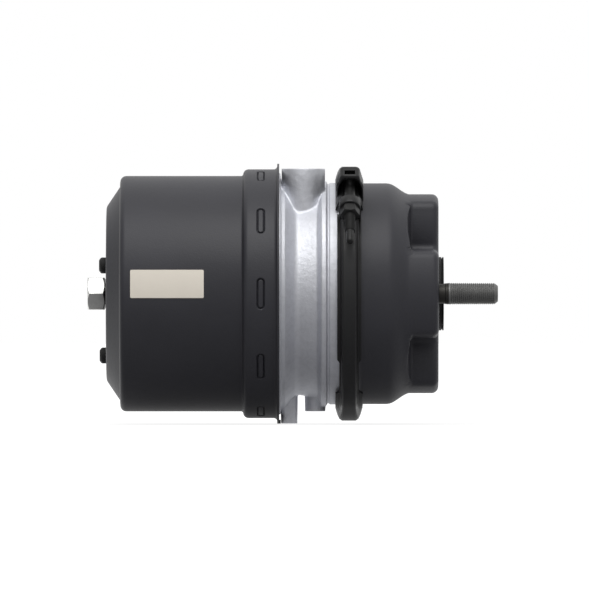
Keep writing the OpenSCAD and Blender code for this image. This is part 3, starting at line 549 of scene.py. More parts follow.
angles = slot_angles()
x, radius = case_outline[:, 0:1], case_outline[:, 1:2]
on_ring = (np.abs(radius - RING_R) < 0.01) & (np.abs(x - SLOT_X) < SLOT_REACH + 0.1)
height = radius - np.where(on_ring, slot_depth(x, angles), 0)
case_grid = turned(x, height, angles) * np.array([1, -1, 1])
TAB_X = (X_PLATE - 1.0, X_PLATE + 1.2)
TAB_Y = (-5.0, 5.0)
TAB_Z = (-97.4, -94.6)
tab_at = np.array([(x, y, z) for x in TAB_X for y in TAB_Y for z in TAB_Z])
tab_faces = [(0, 1, 3, 2), (4, 6, 7, 5), (0, 4, 5, 1), (2, 3, 7, 6), (0, 2, 6, 4), (1, 5, 7, 3)]
make_piece(
    "spring_case_shell", [case_grid], "housing", "black_paint", ["spring_case"], ready=[(tab_at, tab_faces)],
)

# %% [markdown]
# ## The label
#
# A blank printed film on the front of the case. A flat plate would stand off the round wall, so its outline
# is measured along the wall and wrapped round it, and rows drawn in towards its middle keep its face bent.

# %% Label
LABEL_MIDDLE = (-202.8, math.radians(4.75))
LABEL_HALF = (27.4, 10.55)
LABEL_SUNK = -0.1
LABEL_PROUD = 0.3
signs = ((-1, -1), (-1, 1), (1, 1), (1, -1))
label_line = rounded([(along * LABEL_HALF[0], up * LABEL_HALF[1], 1.0) for along, up in signs])
label_line = finer(np.vstack([label_line, label_line[:1]]), 120)[:-1]
levels = [(0.0, LABEL_SUNK), (1.0, LABEL_SUNK)]
levels += [(share, LABEL_PROUD) for share in np.linspace(1.0, 0.0, 13)]
label_rows = []
for share, lift in levels:
    turn = LABEL_MIDDLE[1] + share * label_line[:, 1] / CASE_R
    around = (CASE_R + lift) * np.stack([-np.cos(turn), np.sin(turn)], axis=-1)
    label_rows.append(np.hstack([LABEL_MIDDLE[0] + share * label_line[:, :1], around]))
make_piece("label_film", [np.array(label_rows)], "housing", "label_cream", ["label_plate"], wrap_rows=False)

# %% [markdown]
# ## The service housing
#
# The can in front of the clamp ends in a nose of four lobes. Seen along the axis the nose is a cross with
# rounded tips, joined by round hollows, and behind each hollow is a flat pocket. In polar form that is one
# surface: for every angle the profile comes along the wall, down the curve of the shoulder, across the
# pocket to the foot of the nose, up its wall, round its front edge and over the flat face to the hole.
# Blocks joined by booleans would leave sharp seams where a pressed can has none. The surface is the outer
# skin, and a Solidify modifier gives it the thickness of the metal.

# %% Service housing
NOSE_R = 74.6
LOBE_HALF = 32.0
LOBE_CORNER = 8.0
HOLLOW = 5.0
X_CURVE = -39.0
CURVE_LENGTH = 19.0
CURVE_FOOT = 74.35
POCKET_X = -23.3
POCKET_RISE = 2.4
POCKET_EDGE = 1.1
FOOT_FILLET = 2.6
NOSE_EDGE = 5.0
HOLE_R = 27.6
HOLE_EDGE = 0.8
SHELF_R = 73.0
SHELL_WALL = 2.6
HOUSING_SIDES = 480


# %% Nose outline
def arc_points(centre_x, centre_y, radius, start, end, steps):
    """Points of an arc: centre + radius (cos, sin) of angles from start to end, in degrees."""
    angle = np.radians(np.linspace(start, end, steps))
    return np.stack([centre_x + radius * np.cos(angle), centre_y + radius * np.sin(angle)], axis=-1)


def nose_radius(angle, inset=0.0):
    """The radius of the nose's outline, moved inwards by inset, at each angle from a lobe's middle.

    An eighth of the outline is three arcs: the lobe's tip round the axis, its corner, and half the
    hollow. Every angle is folded into that eighth, and its radius is read off between the arcs' points.
    """
    side = LOBE_HALF - LOBE_CORNER
    tip = math.sqrt((NOSE_R - LOBE_CORNER) ** 2 - side**2)
    spread = math.degrees(math.atan2(side, tip))
    hollow_at = LOBE_HALF + HOLLOW
    line = np.vstack([
        arc_points(0, 0, NOSE_R - inset, 0, spread, 20),
        arc_points(tip, side, LOBE_CORNER - inset, spread, 90, 24),
        arc_points(hollow_at, hollow_at, HOLLOW + inset, 270, 225, 24),
    ])
    polar = np.arctan2(line[:, 1], line[:, 0])
    order = np.argsort(polar)
    folded = np.abs((angle + np.pi / 4) % (np.pi / 2) - np.pi / 4)
    return np.interp(folded, polar[order], np.hypot(line[:, 0], line[:, 1])[order]), folded


# %% Shoulder and pockets
def smooth_step(value, low, high):
    """0 below low, 1 above high, 3t^2 - 2t^3 between."""
    t = np.clip((value - low) / (high - low), 0, 1)
    return t * t * (3 - 2 * t)


def shoulder_height(radius, folded):
    """How far forward the surface outside the nose lies.

    The shoulder is half a cosine wave from the wall to the nose. In a pocket it ends early on a flat
    floor: the lower of shoulder and floor, as a soft minimum, -s log(exp(-a / s) + exp(-b / s)), which
    rounds the edge between them. The floor rises a little towards the lobes' flanks.
    """
    drop = SERVICE_R - CURVE_FOOT
    t = np.arccos(np.clip(2 * (radius - CURVE_FOOT) / drop - 1, -1, 1)) / np.pi
    ramp = X_CURVE + CURVE_LENGTH * t
    flank = LOBE_HALF - radius * np.sin(folded)
    level = POCKET_X + POCKET_RISE * smooth_step(flank, -18.0, 0.0)
    floor = -POCKET_EDGE * np.logaddexp(-ramp / POCKET_EDGE, -level / POCKET_EDGE)
    inside = smooth_step(flank, -1.0, 5.0)
    return floor + (np.maximum(ramp, floor) - floor) * inside, inside


# %% Service housing shell
angles = full_turn(HOUSING_SIDES)
ones = np.ones(HOUSING_SIDES)
rim_rows = [
    (-64.9, 79.8), (-64.9, 87.5), (-62.3, 87.5), (-60.2, 84.7), (-58.7, 83.3), (-57.3, SERVICE_R),
    (-50.0, SERVICE_R),
]
rows = [np.stack([x * ones, r * ones]) for x, r in rim_rows]
nose, folded = nose_radius(angles)
slope = np.gradient(nose, angles) / nose
facing = 1 / np.sqrt(1 + slope**2)
near_wall = nose + FOOT_FILLET / facing
shelf = np.clip(near_wall, SHELF_R, SERVICE_R)
reaches = [SERVICE_R + (shelf - SERVICE_R) * q for q in np.linspace(0, 1, 22)]
reaches += [shelf + (np.minimum(near_wall, shelf) - shelf) * q for q in np.linspace(0.2, 1, 5)]
last = reaches[-1]
reaches += [last + (nose - last) * math.sin(math.radians(a)) for a in (20, 38, 52, 64, 74, 82, 90)]
for reach in reaches:
    height, inside = shoulder_height(reach, folded)
    gap = np.clip((reach - nose) * facing, 0, FOOT_FILLET)
    rise = FOOT_FILLET - np.sqrt(FOOT_FILLET**2 - (FOOT_FILLET - gap) ** 2)
    rows.append(np.stack([height + rise * (1 - inside), reach]))
foot = rows[-1][0]
rows += [np.stack([foot + (-NOSE_EDGE - foot) * q, nose]) for q in (0.25, 0.5, 0.75, 1.0)]
for a in np.radians([15, 30, 45, 60, 75, 90]):
    inset, _ = nose_radius(angles, NOSE_EDGE * (1 - math.cos(a)))
    rows.append(np.stack([NOSE_EDGE * (math.sin(a) - 1) * ones, inset]))
face = rows[-1][1]
rows += [np.stack([0 * ones, face + (HOLE_R + HOLE_EDGE - face) * q]) for q in (0.3, 0.65, 1.0)]
for a in np.radians([30, 60, 90]):
    back, out = 1 - math.cos(a), 1 - math.sin(a)
    rows.append(np.stack([-HOLE_EDGE * back * ones, (HOLE_R + HOLE_EDGE * out) * ones]))
rows.append(np.stack([-2 * HOLE_EDGE * ones, HOLE_R * ones]))
table = np.array(rows)
housing_grid = turned(table[:, 0], table[:, 1], angles)
housing_shell = make_piece(
    "service_housing_shell", [housing_grid], "housing", "black_paint", ["service_housing"], wrap_rows=False,
)
wall = housing_shell.modifiers.new("wall", "SOLIDIFY")
wall.thickness = SHELL_WALL * MM
wall.offset = -1.0

# %% [markdown]
# ## The flange casting
#
# The casting between the chambers is turned in form: a plate, a cone, a valley, a ridge and a collar. A
# casting has no sharp inside corner, so every corner of its outline is rounded. Four bosses stand on it,
# and each runs into the body by a fillet, the bright line in the photograph. A boolean and a bevel could
# join them, but a fillet worked out point by point keeps its width all the way round.


# %% Casting body
CORNER_STEPS = 8
OUTER_CORNERS = 14
casting_corners = [
    (X_PLATE, 90.6, 0.2), (X_PLATE + 1.0, 90.2, 0.3), (X_PLATE + 1.6, 86.0, 0.5), (X_PLATE + 4.5, 85.2, 1.6),
    (X_PLATE + 12.6, 75.5, 6.0),
    (X_CLAMP - 24.2, 78.2, 2.2), (X_CLAMP - 21.2, 84.3, 1.6), (X_CLAMP - 17.4, 84.3, 1.2),
    (X_CLAMP - 16.7, 82.3, 0.5), (X_CLAMP - 15.5, 82.3, 0.4), (X_CLAMP - 14.9, 83.1, 0.5),
    (X_CLAMP - 7.0, 83.0, 1.2), (X_CLAMP - 4.2, 87.5, 0.6), (X_CLAMP - 1.6, 87.5, 0.4),
    (X_CLAMP - 1.6, 76.5, 0.8), (X_CLAMP - 18.0, 75.0, 3.0), (-90.5, 69.0, 3.0), (-105.3, 66.0, 3.0),
    (-109.3, 57.0, 2.0), (-109.3, 32.0, 1.5), (-106.3, 32.0, 0.6), (-106.3, 20.4, 0.3),
    (-108.7, 20.4, 0.1), (-108.7, 24.6, 0.2), (-112.9, 24.6, 0.2), (-112.9, 20.4, 0.1), (-113.7, 20.4, 0.1),
    (-113.7, 22.6, 0.1), (-121.9, 22.6, 0.1), (-121.9, 20.4, 0.1), (-122.7, 20.4, 0.1), (-122.7, 24.6, 0.2),
    (-126.9, 24.6, 0.2), (-126.9, 20.4, 0.1), (-129.3, 20.4, 0.3),
    (-129.3, 32.0, 0.6), (-117.3, 32.0, 1.5), (-117.3, 80.5, 1.5), (-121.5, 85.5, 0.8), (-143.0, 85.5, 0.3),
    (-143.0, 90.2, 0.6), (-138.3, 90.2, 0.2), (-138.3, 87.2, 0.3), (-133.9, 87.2, 0.3), (-133.9, 90.2, 0.2),
    (X_PLATE, 90.2, 0.2),
]
casting_outline = rounded(casting_corners, CORNER_STEPS)
make_piece("casting_body", [spun(casting_outline, 256)], "housing", "cast_aluminium", ["flange_casting"])


# %% Bosses
PORT_X = -101.2
PORT_Y = 30.0
PORT_BORE = 7.25
PORT_DEPTH = 14.0
PORT_PITCH = 1.5
BOSS_EDGE = 0.4
outer_part = casting_outline[:OUTER_CORNERS * CORNER_STEPS]


def body_radius(x):
    """The casting's outside radius at each place along the axis, read off the rounded outline."""
    order = np.argsort(outer_part[:, 0])
    return np.interp(x, outer_part[order, 0], outer_part[order, 1])


def body_height(x, y):
    """The casting's height over the axis at x, y: the root of its radius squared less y squared."""
    return np.sqrt(np.maximum(body_radius(x) ** 2 - y**2, 0))


def boss_rows(x0, y0, radius, top, fillet, bore=0.0, sides=120, taper=0.0, power=2.0):
    """A boss that stands on the body: bore, rim, wall, and a fillet down to the surface.

    The fillet is a curve of three points at every angle, (1 - t)^2 start + 2t (1 - t) corner + t^2
    foot: it leaves the wall downwards, is drawn to the corner where wall and body meet, and arrives
    along the body's slope. power 2 is a round boss, and a higher one is squarer. The bore's thread is a
    triangle wave of height / pitch - angle / full turn.
    """
    angle = full_turn(sides)
    cos, sin = np.cos(angle), np.sin(angle)
    radius = radius / (np.abs(cos) ** power + np.abs(sin) ** power) ** (1 / power)
    rows = []

    def row(r, z):
        r, z = np.broadcast_to(r, angle.shape), np.broadcast_to(z, angle.shape)
        rows.append(np.stack([np.maximum(x0 + r * cos, X_PLATE + 1.0), y0 + r * sin, z], axis=-1))

    if bore:
        deep = top - PORT_DEPTH
        row(0.0, deep)
        row(bore, deep)
        for z in np.arange(deep + 0.2, top - 1.4, PORT_PITCH / 6):
            wave = np.abs(((z - PORT_PITCH * angle / (2 * np.pi)) / PORT_PITCH) % 1 - 0.5) * 2
            row(bore + 0.75 * wave, z)
        row(bore + 0.9, top - 1.3)
        row(bore + 1.7, top - 0.1)
        row(bore + 1.9, top)
    else:
        row(0.0, top)
    row(radius - BOSS_EDGE - 2.0, top)
    for a in np.radians([0, 30, 60, 90]):
        row(radius - BOSS_EDGE * (1 - math.sin(a)), top - BOSS_EDGE * (1 - math.cos(a)))
    out_x, out_y = x0 + (radius + taper + fillet) * cos, y0 + (radius + taper + fillet) * sin
    corner = body_height(x0 + (radius + taper) * cos, y0 + (radius + taper) * sin)
    start = np.minimum(corner + fillet, top - BOSS_EDGE - 0.2)
    foot = body_height(np.maximum(out_x, X_PLATE + 0.4), out_y) - 0.15
    for q in (0.3, 0.65):
        row(radius + taper * q, (top - BOSS_EDGE) + (start - top + BOSS_EDGE) * q)
    for t in np.linspace(0, 1, 9):
        near, mid, far = (1 - t) ** 2, 2 * t * (1 - t), t**2
        r = (near + mid) * (radius + taper) + far * (radius + taper + fillet)
        row(r, near * start + mid * corner + far * foot)
    row(radius + taper, foot - 4.0)
    row(0.0, body_height(x0, y0) - 14)
    return np.array(rows)


# %% Port and blank bosses
ports = [boss_rows(PORT_X, y, 16.2, 93.5, 1.9, PORT_BORE) for y in (-PORT_Y, PORT_Y)]
make_piece("port_bosses", ports, "housing", "cast_aluminium", wrap_rows=False)
square_blank = boss_rows(-111.7, 0.0, 6.1, LIP_R - 0.2, 1.2, sides=96, taper=0.3, power=4.5)
round_blank = boss_rows(-92.3, 0.0, 7.6, 88.2, 0.8, sides=72, taper=0.2)
blanks = [rows * np.array([1, 1, -1]) for rows in (square_blank, round_blank)]
make_piece("blank_bosses", blanks, "housing", "cast_aluminium", wrap_rows=False)

# %% [markdown]
# ## Screws
#
# A screw thread is a turned outline whose radius also depends on the angle: along the axis it is a row of
# V grooves, and each turn of the angle moves the row on by one pitch. A hexagon is turned form too, if the
# radius at each angle is that of the flat there, cut off by the cone that chamfers the corners. That cone
# leaves the curved edges that a real bolt head shows.


# %% Threads and hexagons
def threaded(before, thread, after, chamfer=(0.0, 0.0), sides=48):
    """A turned outline [x, radius] with a screw thread in it, round the X axis.

    thread is x0, x1, radius, pitch. The groove is a triangle wave of x / pitch - angle / full turn,
    0.4 pitch deep, that runs out over one pitch at both ends. chamfer is a length and a height: over
    the last length of the thread the radius is also held under a cone that falls by height.
    """
    x0, x1, radius, pitch = thread
    angle = full_turn(sides)
    x = np.linspace(x0, x1, int(round((x1 - x0) / pitch * 8)) + 1)[:, None]
    phase = (x / pitch - angle / (2 * np.pi)) % 1
    groove = np.clip(1.2 * (1 - np.abs(2 * phase - 1)) - 0.14, 0, 1)
    fade = np.clip((x - x0) / pitch, 0, 1) * np.clip((x1 - x) / pitch + 0.3, 0, 1)
    cone = radius - chamfer[1] * np.clip((x - x1 + chamfer[0]) / max(chamfer[0], 1e-6), 0, 1)
    middle = np.minimum(radius - 0.4 * pitch * groove * fade, cone)
    ends = [np.array(part, float) for part in (before, after)]
    along = np.concatenate([ends[0][:, 0], x[:, 0], ends[1][:, 0]])
    full = np.ones(sides)
    height = np.vstack([ends[0][:, 1:] * full, middle, ends[1][:, 1:] * full])
    return turned(along[:, None], height, angle)


def hexagon(outline, flats, sides=120):
    """A hexagonal bar turned to an outline: the radius is the smaller of the two at each angle.

    A hexagon's own radius is half its width over flats, divided by the cosine of the angle from the
    middle of the flat. A corner points along Y.
    """
    angle = full_turn(sides)
    own = flats / 2 / np.cos(angle % (np.pi / 3) - np.pi / 6)
    height = np.minimum(own, outline[:, 1:2])
    return turned(outline[:, 0:1], height, angle)


def hex_outline(x0, x1, flats, ends=(True, True)):
    """Outline of a hexagon with 30 degree chamfers at its ends, closed to the axis."""
    corner, face = flats / math.sqrt(3) - 0.15, flats / 2 - 0.45
    cut = (corner - face) * math.tan(math.radians(30))
    q = np.linspace(0, 1, 9)[:, None]
    chamfer = np.hstack([cut * q, face + (corner - face) * q])
    rise = chamfer + [x0, 0.0] if ends[0] else [[x0, corner]]
    fall = chamfer[::-1] * [-1, 1] + [x1, 0.0] if ends[1] else [[x1, corner]]
    return np.vstack([[[x0, 0.0]], rise, fall, [[x1, 0.0]]])


# %% [markdown]
# ## Mounting studs
#
# Two M16 x 1.5 studs. Each has a round head behind the plate, a shank pressed into it, a plain neck with a
# low step, and a thread with a chamfered tip. They are phosphated, so they are a dark, dull grey. A bump
# in the material would give the thread its stripes but not its toothed outline, so it is in the mesh.

# %% Mounting studs
STUD_Y = 60.325
stud = threaded(
    [(-13.0, 0.0), (-13.0, 10.1), (-12.3, 10.77), (-7.0, 10.77), (-7.0, 8.5), (-0.6, 8.5), (0.0, 8.0),
     (0.1, 7.35), (4.7, 7.35), (5.1, 7.8), (7.0, 7.8), (7.3, 8.0)],
    (7.6, 43.9, 8.0, 1.5), [(44.0, 5.7), (44.0, 0.0)], (2.7, 2.1),
)
studs = [stud + np.array([0, y, 0]) for y in (-STUD_Y, STUD_Y)]
make_piece("stud_pair", studs, "housing", "phosphated_steel", ["mounting_studs"], wrap_rows=False)

# %% [markdown]
# ## Clamp bolts and nuts
#
# The two halves of the clamp ring are drawn together by two long M8 bolts. Each has a plain pilot past its
# thread, which the photograph shows below the nut. They are built along X and then put in the joint's
# frame: the bolt lies across the ring, and the joint is turned round the axis by its own angle.

# %% Clamp bolts and nuts
CLAMP_BOLT_R = 99.0
JOINT_ANGLES = (43.5, 223.5)
M8_FLATS = 13.0
HOOD_BACK = -21.0
LUG_BACK = 5.0
LUG_FRONT = 12.8


def at_joint(grid, degrees):
    """Points built along X, moved into a clamp joint's frame.

    X runs against the joint's Y, and the joint is turned round the cylinder's axis by degrees.
    """
    x, y, z = X_CLAMP + grid[..., 1], -grid[..., 0], CLAMP_BOLT_R + grid[..., 2]
    cos, sin = math.cos(math.radians(degrees)), math.sin(math.radians(degrees))
    return np.stack([x, y * cos - z * sin, y * sin + z * cos], axis=-1)


bolt_head = hexagon(hex_outline(-26.3, HOOD_BACK, M8_FLATS, (True, False)), M8_FLATS, 96)
bolt_shank = threaded(
    [(HOOD_BACK - 0.5, 0.0), (HOOD_BACK - 0.5, 4.0), (2.0, 4.0)], (2.5, 37.4, 4.0, 1.25),
    [(38.0, 2.9), (38.8, 2.8), (47.4, 2.8), (48.6, 2.3), (49.0, 1.6), (49.0, 0.0)], (0.9, 1.0), 32,
)
clamp_nut = hexagon(hex_outline(LUG_FRONT, 20.2, M8_FLATS), M8_FLATS, 96)
bolt_grids = [at_joint(grid, a) for a in JOINT_ANGLES for grid in (bolt_head, bolt_shank)]
make_piece("clamp_bolt_pair", bolt_grids, "housing", "bolt_black", ["clamp_bolts"], wrap_rows=False)
nut_grids = [at_joint(clamp_nut, a) for a in JOINT_ANGLES]
make_piece("clamp_nut_pair", nut_grids, "housing", "bolt_black", ["clamp_nuts"], wrap_rows=False)

# %% [markdown]
# ## The clamp halves
#
# Each half is one pressing: a band with sloping sides and narrow lips, a thick lug at one end that the nut
# bears on, and at the other end a hood over the bolt. The band is a closed section carried round the axis,
# the lug a turned outline with straight flanks, and the hood a thin arch with a round opening in front, a
# wall behind and a small window in its top.

# %% Clamp band and lug
NUT_END = math.radians(46.7)
HOOD_END = math.radians(222.5)
LIP_NARROW = 7.3
LIP_MIDDLE = 9.0
LIP_WIDE = 10.2
LUG_HALF = 8.2
LUG_FOOT = 11.0
LUG_EDGE = 0.8


def both_sides(right):
    """The closed section round the ring from its right half: x from the ring's middle, radius, rounding."""
    return rounded(right + [(-x, r, bend) for x, r, bend in right[::-1]])


def band_section(lip):
    """The band with flat lips; lip is half its width."""
    return both_sides([
        (4.3, 92.0, 0.9), (5.2, 91.2, 0.6), (6.4, 86.9, 0.3), (6.9, 86.4, 0.2), (lip, 86.7, 0.15),
        (lip, 84.7, 0.15), (6.9, 84.5, 0.2), (4.3, 88.6, 0.8), (2.8, 89.5, 0.6),
    ])


ARCHED_SECTION = both_sides([
    (5.2, 95.4, 0.9), (7.2, 94.0, 0.8), (8.6, 91.2, 0.6), (9.5, 88.4, 0.4), (10.2, 85.6, 0.3),
    (10.2, 84.2, 0.2), (8.9, 84.2, 0.2), (7.2, 89.4, 0.8), (4.2, 92.4, 0.6),
])


def band_grid():
    """The section carried from the lug to the hood.

    Its lips are wider near both ends, as in the photograph, and before the hood it swells to an arch:
    section + (arch - section) * share, with a share that grows from 0 to 1.
    """
    angle = np.linspace(NUT_END, HOOD_END, 200)
    past = np.degrees(angle - NUT_END)
    before = np.degrees(HOOD_END - angle)
    near_lug, near_hood = 1 - smooth_step(past, 78.0, 80.0), 1 - smooth_step(before, 72.5, 74.0)
    lip = LIP_NARROW + (LIP_MIDDLE - LIP_NARROW) * near_lug + (LIP_WIDE - LIP_NARROW) * near_hood
    narrow, wide = band_section(LIP_NARROW)[:, None], band_section(LIP_WIDE)[:, None]
    section = narrow + (wide - narrow) * ((lip - LIP_NARROW) / (LIP_WIDE - LIP_NARROW))[:, None]
    arched = (1 - smooth_step(before, 38.0, 64.0))[:, None]
    section = section + (ARCHED_SECTION[:, None] - section) * arched
    x, r = section[..., 0], section[..., 1]
    return np.stack([X_CLAMP - 0.5 + x, -r * np.sin(angle), r * np.cos(angle)], axis=-1)


def lug_grid(sides=96):
    """A thick plate across the bolt with a round top and straight flanks, built round the bolt's axis.

    Above the bolt its reach is half its width. Below, it is the smaller of that half / |cos| and the
    foot's depth / |sin|. Both faces have an edge rounded by a quarter circle.
    """
    angle = full_turn(sides)
    cos, sin = np.cos(angle), np.sin(angle)
    flank = np.minimum(LUG_HALF / np.maximum(np.abs(cos), 1e-6), LUG_FOOT / np.maximum(np.abs(sin), 1e-6))
    own = np.where(sin > 0, LUG_HALF, flank)
    edge = np.radians([0, 30, 60, 90])
    rows = [(LUG_BACK, 0 * own)]
    rows += [(LUG_BACK + LUG_EDGE * (1 - math.cos(a)), own - LUG_EDGE * (1 - math.sin(a))) for a in edge]
    rows += [(LUG_FRONT - LUG_EDGE * (1 - math.sin(a)), own - LUG_EDGE * (1 - math.cos(a))) for a in edge]
    rows += [(LUG_FRONT, 0 * own)]
    return np.array([turned(s, reach, angle) for s, reach in rows])


# %% Clamp hood
HOOD_HALF = 10.15
HOOD_TOP = 111.3
HOOD_WALL = 1.7
OPENING_R = 8.3
WINDOW_HALF = 3.9
WINDOW_ENDS = (-16.4, -12.1)


def thick_sheet(grid, keep, thickness):
    """Points and faces of an open grid with a wall: some quads left out, then a Solidify modifier."""
    mesh = bpy.data.meshes.new("sheet")
    faces = grid_faces(*grid.shape[:2], False, False)[keep]
    mesh.from_pydata(grid.reshape(-1, 3), [], faces.tolist())
    sheet = bpy.data.objects.new("sheet", mesh)
    bpy.context.scene.collection.objects.link(sheet)
    wall = sheet.modifiers.new("wall", "SOLIDIFY")
    wall.thickness = thickness
    wall.offset = -1.0
    wall.use_even_offset = True
    made = sheet.evaluated_get(bpy.context.evaluated_depsgraph_get()).to_mesh()
    points = np.empty(len(made.vertices) * 3)
    made.vertices.foreach_get("co", points)
    quads = [list(face.vertices) for face in made.polygons]
    bpy.data.objects.remove(sheet)
    return points.reshape(-1, 3), quads


def hood_sheet():
    """The hood's outer surface, built along X, and which of its quads to keep.

    The round opening comes first. Its rim is a blend, opening + (outline - opening) * out, that swells
    forward between the two. Then the outline runs back along the bolt, turns in with a rounded edge and
    closes to the back wall. The quads of the window are left out.
    """
    half = [(-HOOD_HALF, 85.0, 0.02), (-HOOD_HALF, 97.5, 12.0), (-6.9, HOOD_TOP, 3.4)]
    line = rounded(half + [(-y, z, bend) for y, z, bend in half[::-1]], 8)[7:-7]
    middle = len(line) // 2
    top = np.stack([np.linspace(-WINDOW_HALF, WINDOW_HALF, 5), np.full(5, HOOD_TOP)], axis=-1)
    line = finer(np.vstack([line[:middle], top, line[middle:]]), 60) - np.array([0, CLAMP_BOLT_R])
    centre = np.array([0, -8.0])
    below = np.minimum(line * [0, 1], 0)
    opening = unit(line - below) * OPENING_R + below
    rim_s = (-12.0, -11.0, -10.2, -9.8, -9.9, -10.3, -10.9)
    rim_out = (0.0, 0.0, 0.13, 0.4, 0.62, 0.84, 0.97)
    layers = [(s, opening + (line - opening) * out) for s, out in zip(rim_s, rim_out)]
    spots = [(s, 1.0) for s in (-11.4, -11.7, WINDOW_ENDS[1], -14.2, WINDOW_ENDS[0], -17.4, -18.6)]
    for a in np.radians([0, 20, 40, 60, 80, 90]):
        spots.append((HOOD_BACK + 1.4 * (1 - math.sin(a)), 1 - 0.04 * (1 - math.cos(a))))
    spots += [(HOOD_BACK, share) for share in (0.6, 0.3, 0.02)]
    layers += [(s, centre + (line - centre) * share) for s, share in spots]
    grid = np.array([np.hstack([np.full((len(line), 1), s), outline]) for s, outline in layers])
    s, y, z = np.moveaxis((grid[:-1, :-1] + grid[1:, 1:]) / 2, -1, 0)
    window = (np.abs(y) < WINDOW_HALF) & (s > WINDOW_ENDS[0]) & (s < WINDOW_ENDS[1]) & (z > 9)
    return grid, ~window.ravel()


hood_points, hood_faces = thick_sheet(*hood_sheet(), HOOD_WALL)
print("hood wall stands at", hood_points.min(0).round(1), hood_points.max(0).round(1))
lug = lug_grid()
for side, turn, sign in (("front", 0, 1), ("back", 180, -1)):
    band = band_grid() * np.array([1, sign, sign])
    lug_there = at_joint(lug, JOINT_ANGLES[0] + turn)
    hood_there = at_joint(hood_points, JOINT_ANGLES[1] + turn)
    make_piece(
        f"clamp_ring_{side}", [band], "housing", "clamp_black", [f"clamp_half_{side}"], wrap_columns=False,
        ready=[(lug_there, grid_faces(*lug.shape[:2], False, True)), (hood_there, hood_faces)],
    )

# %% [markdown]
# ## Release bolt
#
# The bolt's head is outside and its spindle reaches through the case into the piston's tube. Its corner
# faces the front, as in the photograph, where the face above the corner mirrors the lamp.

# %% Release bolt
X_HEAD = X_END - 1.3
HEAD_LENGTH = 13.0
HEAD_FLATS = 24.0
release_head = hexagon(hex_outline(X_HEAD - HEAD_LENGTH, X_HEAD, HEAD_FLATS), HEAD_FLATS)
release_spindle = threaded(
    [(X_HEAD - 0.5, 0.0), (X_HEAD - 0.5, 8.0), (X_END + 20.5, 8.0)], (X_END + 21.0, -129.0, 8.0, 3.0),
    [(-128.5, 8.0), (-115.9, 8.0), (-114.9, 7.0), (-114.9, 0.0)],
)
make_piece(
    "release_screw", [release_head, release_spindle], "release_bolt_body", "bolt_zinc", ["release_bolt"],
    wrap_rows=False,
)

# %% [markdown]
# ## Rubber parts
#
# Vent plugs, the seal on the mounting face and the rings inside are moulded round, so each is a rounded
# outline spun about its axis, and one loop makes the three rings. The boot and the diaphragm, further
# down, join the housing to the push rod.

# %% Plugs, seal and rings
VENT_RING_R = 46.5
VENT_ANGLES = np.radians([153, 265])
PLUG_OUT = X_END - 5.2
plug_outline = np.vstack([[(X_END + WALL, 0.0)], rounded([
    (X_END + WALL, 3.1, 0.4), (X_END, 3.1, 0.1), (X_END, 6.0, 0.4), (X_END - 3.6, 6.0, 1.6),
    (PLUG_OUT, 4.0, 1.3), (PLUG_OUT, 0.01, 0.02),
])[:-6], [(PLUG_OUT, 0.0)]])
plug = spun(plug_outline, 48)
plugs = [plug + VENT_RING_R * np.array([0, math.cos(a), math.sin(a)]) for a in VENT_ANGLES]
make_piece("vent_plug_pair", plugs, "housing", "black_rubber", ["vent_plugs"], wrap_rows=False)

seal_outline = rounded([
    (-9.2, 20.5, 0.5), (-9.2, 29.7, 0.9), (-7.05, 29.7, 0.5), (-7.05, 27.5, 0.3), (2.2, 27.5, 0.4),
    (2.55, 26.5, 0.3), (2.85, 26.5, 0.3), (3.0, 27.5, 0.3), (4.0, 27.5, 0.45), (4.0, 24.6, 0.6),
    (2.4, 23.0, 1.2), (0.8, 20.5, 1.0),
])
make_piece("mounting_seal", [spun(seal_outline)], "housing", "black_rubber", ["front_seal"])

ring_sections = {
    "case_ring_seal": ("case_o_ring", "housing", [[
        (-138.2, 87.25, 1.4), (-138.2, 90.15, 1.4), (-134.0, 90.15, 1.4), (-134.0, 87.25, 1.4)]]),
    "tube_lip_seals": ("tube_seals", "housing", [[
        (x, 20.1, 0.2), (x, 24.5, 0.4), (x + 4.0, 24.5, 0.4), (x + 4.0, 20.1, 0.2), (x + 1.8, 21.3, 0.8)]
        for x in (-126.8, -112.8)]),
    "piston_lip_seal": ("piston_seal", "park_piston", [[
        (-214.7, 79.8, 0.5), (-214.7, 84.2, 0.4), (-211.2, 84.1, 1.0), (-208.9, 85.2, 0.4),
        (-208.9, 79.8, 0.5)]]),
}
for name, (node, body, sections) in ring_sections.items():
    make_piece(name, [spun(rounded(section)) for section in sections], body, "black_rubber", [node])

# %% [markdown]
# ## The boot
#
# The boot is a bellows. Its wall is a cosine wave along the axis on a slope from the mouth, which is clipped
# in the seal, to the collar on the rod.

# %% Boot
FOLDS = 5
BOOT_HALF_WALL = 0.7
share = np.linspace(0, 1, 121)
fold_x = -12.5 - 35.0 * share
fold_r = 20.0 - 4.8 * share + 1.2 * np.cos(2 * np.pi * FOLDS * share)
outer_line = np.stack([fold_x, fold_r + BOOT_HALF_WALL], axis=-1)
inner_line = np.stack([fold_x, fold_r - BOOT_HALF_WALL], axis=-1)[::-1]
boot_outline = np.vstack([
    [(-9.6, 20.8), (-9.5, 21.2), (-9.5, 22.3), (-9.9, 22.8), (-11.2, 22.8), (-11.8, 22.3)], outer_line,
    [(-48.2, 14.4), (-49.0, 14.2), (-54.1, 14.2), (-54.5, 13.8), (-54.5, 11.05), (-48.6, 11.05)], inner_line,
    [(-11.6, 20.6)],
])
boot = make_piece("rod_boot", [spun(boot_outline, 128)], "housing", "black_rubber", ["boot"], place=False)
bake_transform(boot)
